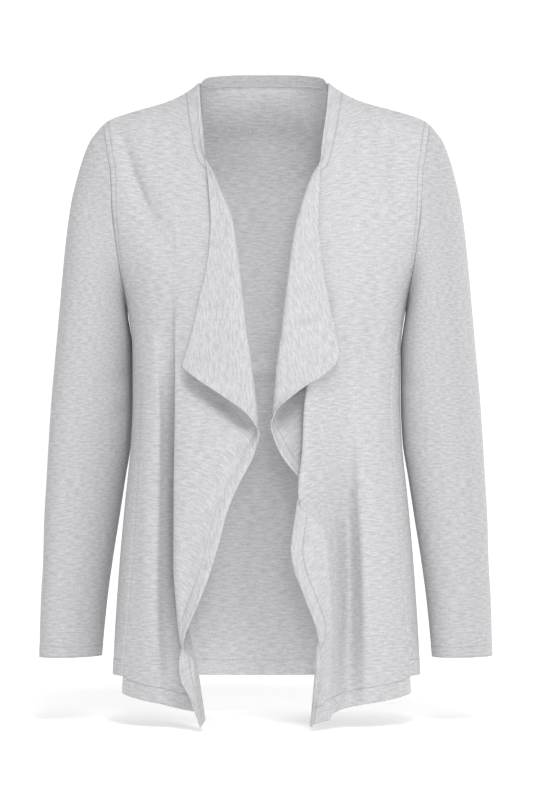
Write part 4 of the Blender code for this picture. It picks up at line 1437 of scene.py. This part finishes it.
@dataclass(frozen=True)
class Studio:
    """Pale paper sweep, soft light and a camera at the photograph's distance."""

    distance: float = 4.35
    eye_height: float = -0.357
    view_height: float = 0.916
    floor_height: float = -0.7235
    floor_front: float = -5.0
    floor_back: float = 3.5
    sweep_radius: float = 1.5
    sweep_steps: int = 12
    sweep_height: float = 5.0
    half_width: float = 7.0
    paper_tone: float = 0.85
    paper_roughness: float = 0.9
    paper_glow: float = 0.385
    world: float = 0.49
    lamps: tuple[Lamp, ...] = (
        Lamp("axis_lamp", (0.15, -4.7, 0.2), 0.6, 0.12),
        Lamp("high_lamp", (0.9, -3.3, 2.8), 1.0, 0.18),
        Lamp("top_lamp", (0.2, -2.2, 2.9), 1.0, 0.29),
        Lamp("right_lamp", (3.4, -0.8, 0.6), 2.4, 0.04),
        Lamp("rear_lamp", (3.0, 2.4, 0.1), 0.8, 0.22),
    )

    def floor(self) -> None:
        """Lay a paper floor that sweeps up behind the coat."""
        bend = [(self.floor_back + self.sweep_radius * math.sin(turn),
                 self.floor_height + self.sweep_radius * (1.0 - math.cos(turn)))
                for turn in np.linspace(0.0, math.pi / 2.0, self.sweep_steps + 1)]
        line = [(self.floor_front, self.floor_height), *bend,
                (bend[-1][0], self.sweep_height)]
        vertices = [(x, y, z) for y, z in line for x in (-self.half_width, self.half_width)]
        faces = [(2 * i, 2 * i + 1, 2 * i + 3, 2 * i + 2) for i in range(len(line) - 1)]
        mesh = bpy.data.meshes.new("paper_sweep")
        mesh.from_pydata(vertices, [], faces)
        mesh.shade_smooth()
        shader = Shader("white_paper", (self.paper_tone,) * 3, self.paper_roughness)
        shader.surface.inputs["Emission Color"].default_value = (1.0, 1.0, 1.0, 1.0)
        shader.surface.inputs["Emission Strength"].default_value = self.paper_glow
        mesh.materials.append(shader.finish())
        floor = bpy.data.objects.new("paper_sweep", mesh)
        bpy.context.scene.collection.objects.link(floor)

    def light(self) -> None:
        """Light the scene with a pale surround and large soft lamps."""
        world = bpy.data.worlds.new("studio")
        world.use_nodes = True
        background = world.node_tree.nodes["Background"]
        background.inputs["Color"].default_value = (1.0, 1.0, 1.0, 1.0)
        background.inputs["Strength"].default_value = self.world
        bpy.context.scene.world = world
        bpy.context.scene.view_settings.view_transform = "Standard"
        for lamp in self.lamps:
            lamp.hang(Vector((0.0, 0.0, self.eye_height)))

    def camera(self) -> None:
        """Stand the camera level in front of the coat."""
        lens = bpy.data.cameras.new("camera")
        lens.sensor_fit = "VERTICAL"
        lens.sensor_height = 24.0
        lens.lens = lens.sensor_height * self.distance / self.view_height
        camera = bpy.data.objects.new("camera", lens)
        camera.location = (0.0, -self.distance, self.eye_height)
        camera.rotation_euler = (math.pi / 2.0, 0.0, 0.0)
        bpy.context.scene.collection.objects.link(camera)
        bpy.context.scene.camera = camera


def log_sizes(name: str, cloth: Cloth, piece: bpy.types.Object) -> None:
    """Log the triangles of a piece, the area of its cloth and how far it spreads."""
    polygons = piece.data.polygons
    columns = np.linalg.norm(np.diff(cloth.points, axis=0), axis=-1).sum(axis=0)
    rows = np.linalg.norm(np.diff(cloth.points, axis=1), axis=-1).sum(axis=1)
    LOG.info("%s: %d triangles, %.4f square metres, longest column %.3f m, widest row %.3f m",
             name, sum(len(polygon.vertices) - 2 for polygon in polygons),
             sum(polygon.area for polygon in polygons) / 2.0, columns.max(), rows.max())


def main() -> None:
    """Dress the frame and set it in the studio."""
    logging.basicConfig(level=logging.INFO, format="%(message)s")
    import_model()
    jersey = MelangeJersey().make("jersey")
    # The back's inner face gets a much lighter copy of the jersey: painted light, for light
    # falling into the back through the open front; the fronts' inner faces keep the plain jersey
    reverse = MelangeJersey(light=(0.85, 0.85, 0.86), dark=(0.61, 0.61, 0.625)).make("reverse")
    # The sleeves get a darker copy of the jersey: painted shade, for the sleeves lying in less
    # light than the body
    shaded_sleeve_jersey = MelangeJersey(light=(0.59, 0.59, 0.6), dark=(0.42, 0.42, 0.435)).make("shaded_sleeve_jersey")
    faces = {"back": (jersey, reverse), "sleeve_right": (shaded_sleeve_jersey,), "sleeve_left": (shaded_sleeve_jersey,)}
    stitching = Stitching(SewingThread().make())
    # Piece, width and length of its flat cloth, area of its flat cloth
    parts = {
        "back": (BackPanel(), (0.54, 0.73), 0.33),
        "neck_band": (NeckBand(), (0.22, 0.0117), 0.0025),
        "front_right": (FrontPanel(RIGHT_FRONT), (0.26, 0.85), 0.13),
        "front_left": (FrontPanel(LEFT_FRONT), (0.26, 0.85), 0.13),
        "sleeve_right": (Sleeve("sleeve_right", -1, RIGHT_SLEEVE), (0.30, 0.61), 0.14),
        "sleeve_left": (Sleeve("sleeve_left", 1, LEFT_SLEEVE), (0.30, 0.61), 0.14),
    }
    for name, (part, flat, area) in parts.items():
        cloth = part.cloth()
        piece = cloth.build(*faces.get(name, (jersey,)))
        stitches = stitching.sew(cloth, part.lines, name + "_stitches")
        for made in (piece, stitches):
            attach(made, BODY)
        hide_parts(name)
        log_sizes(name, cloth, piece)
    studio = Studio()
    studio.floor()
    studio.light()
    studio.camera()


if __name__ == "__main__":
    main()
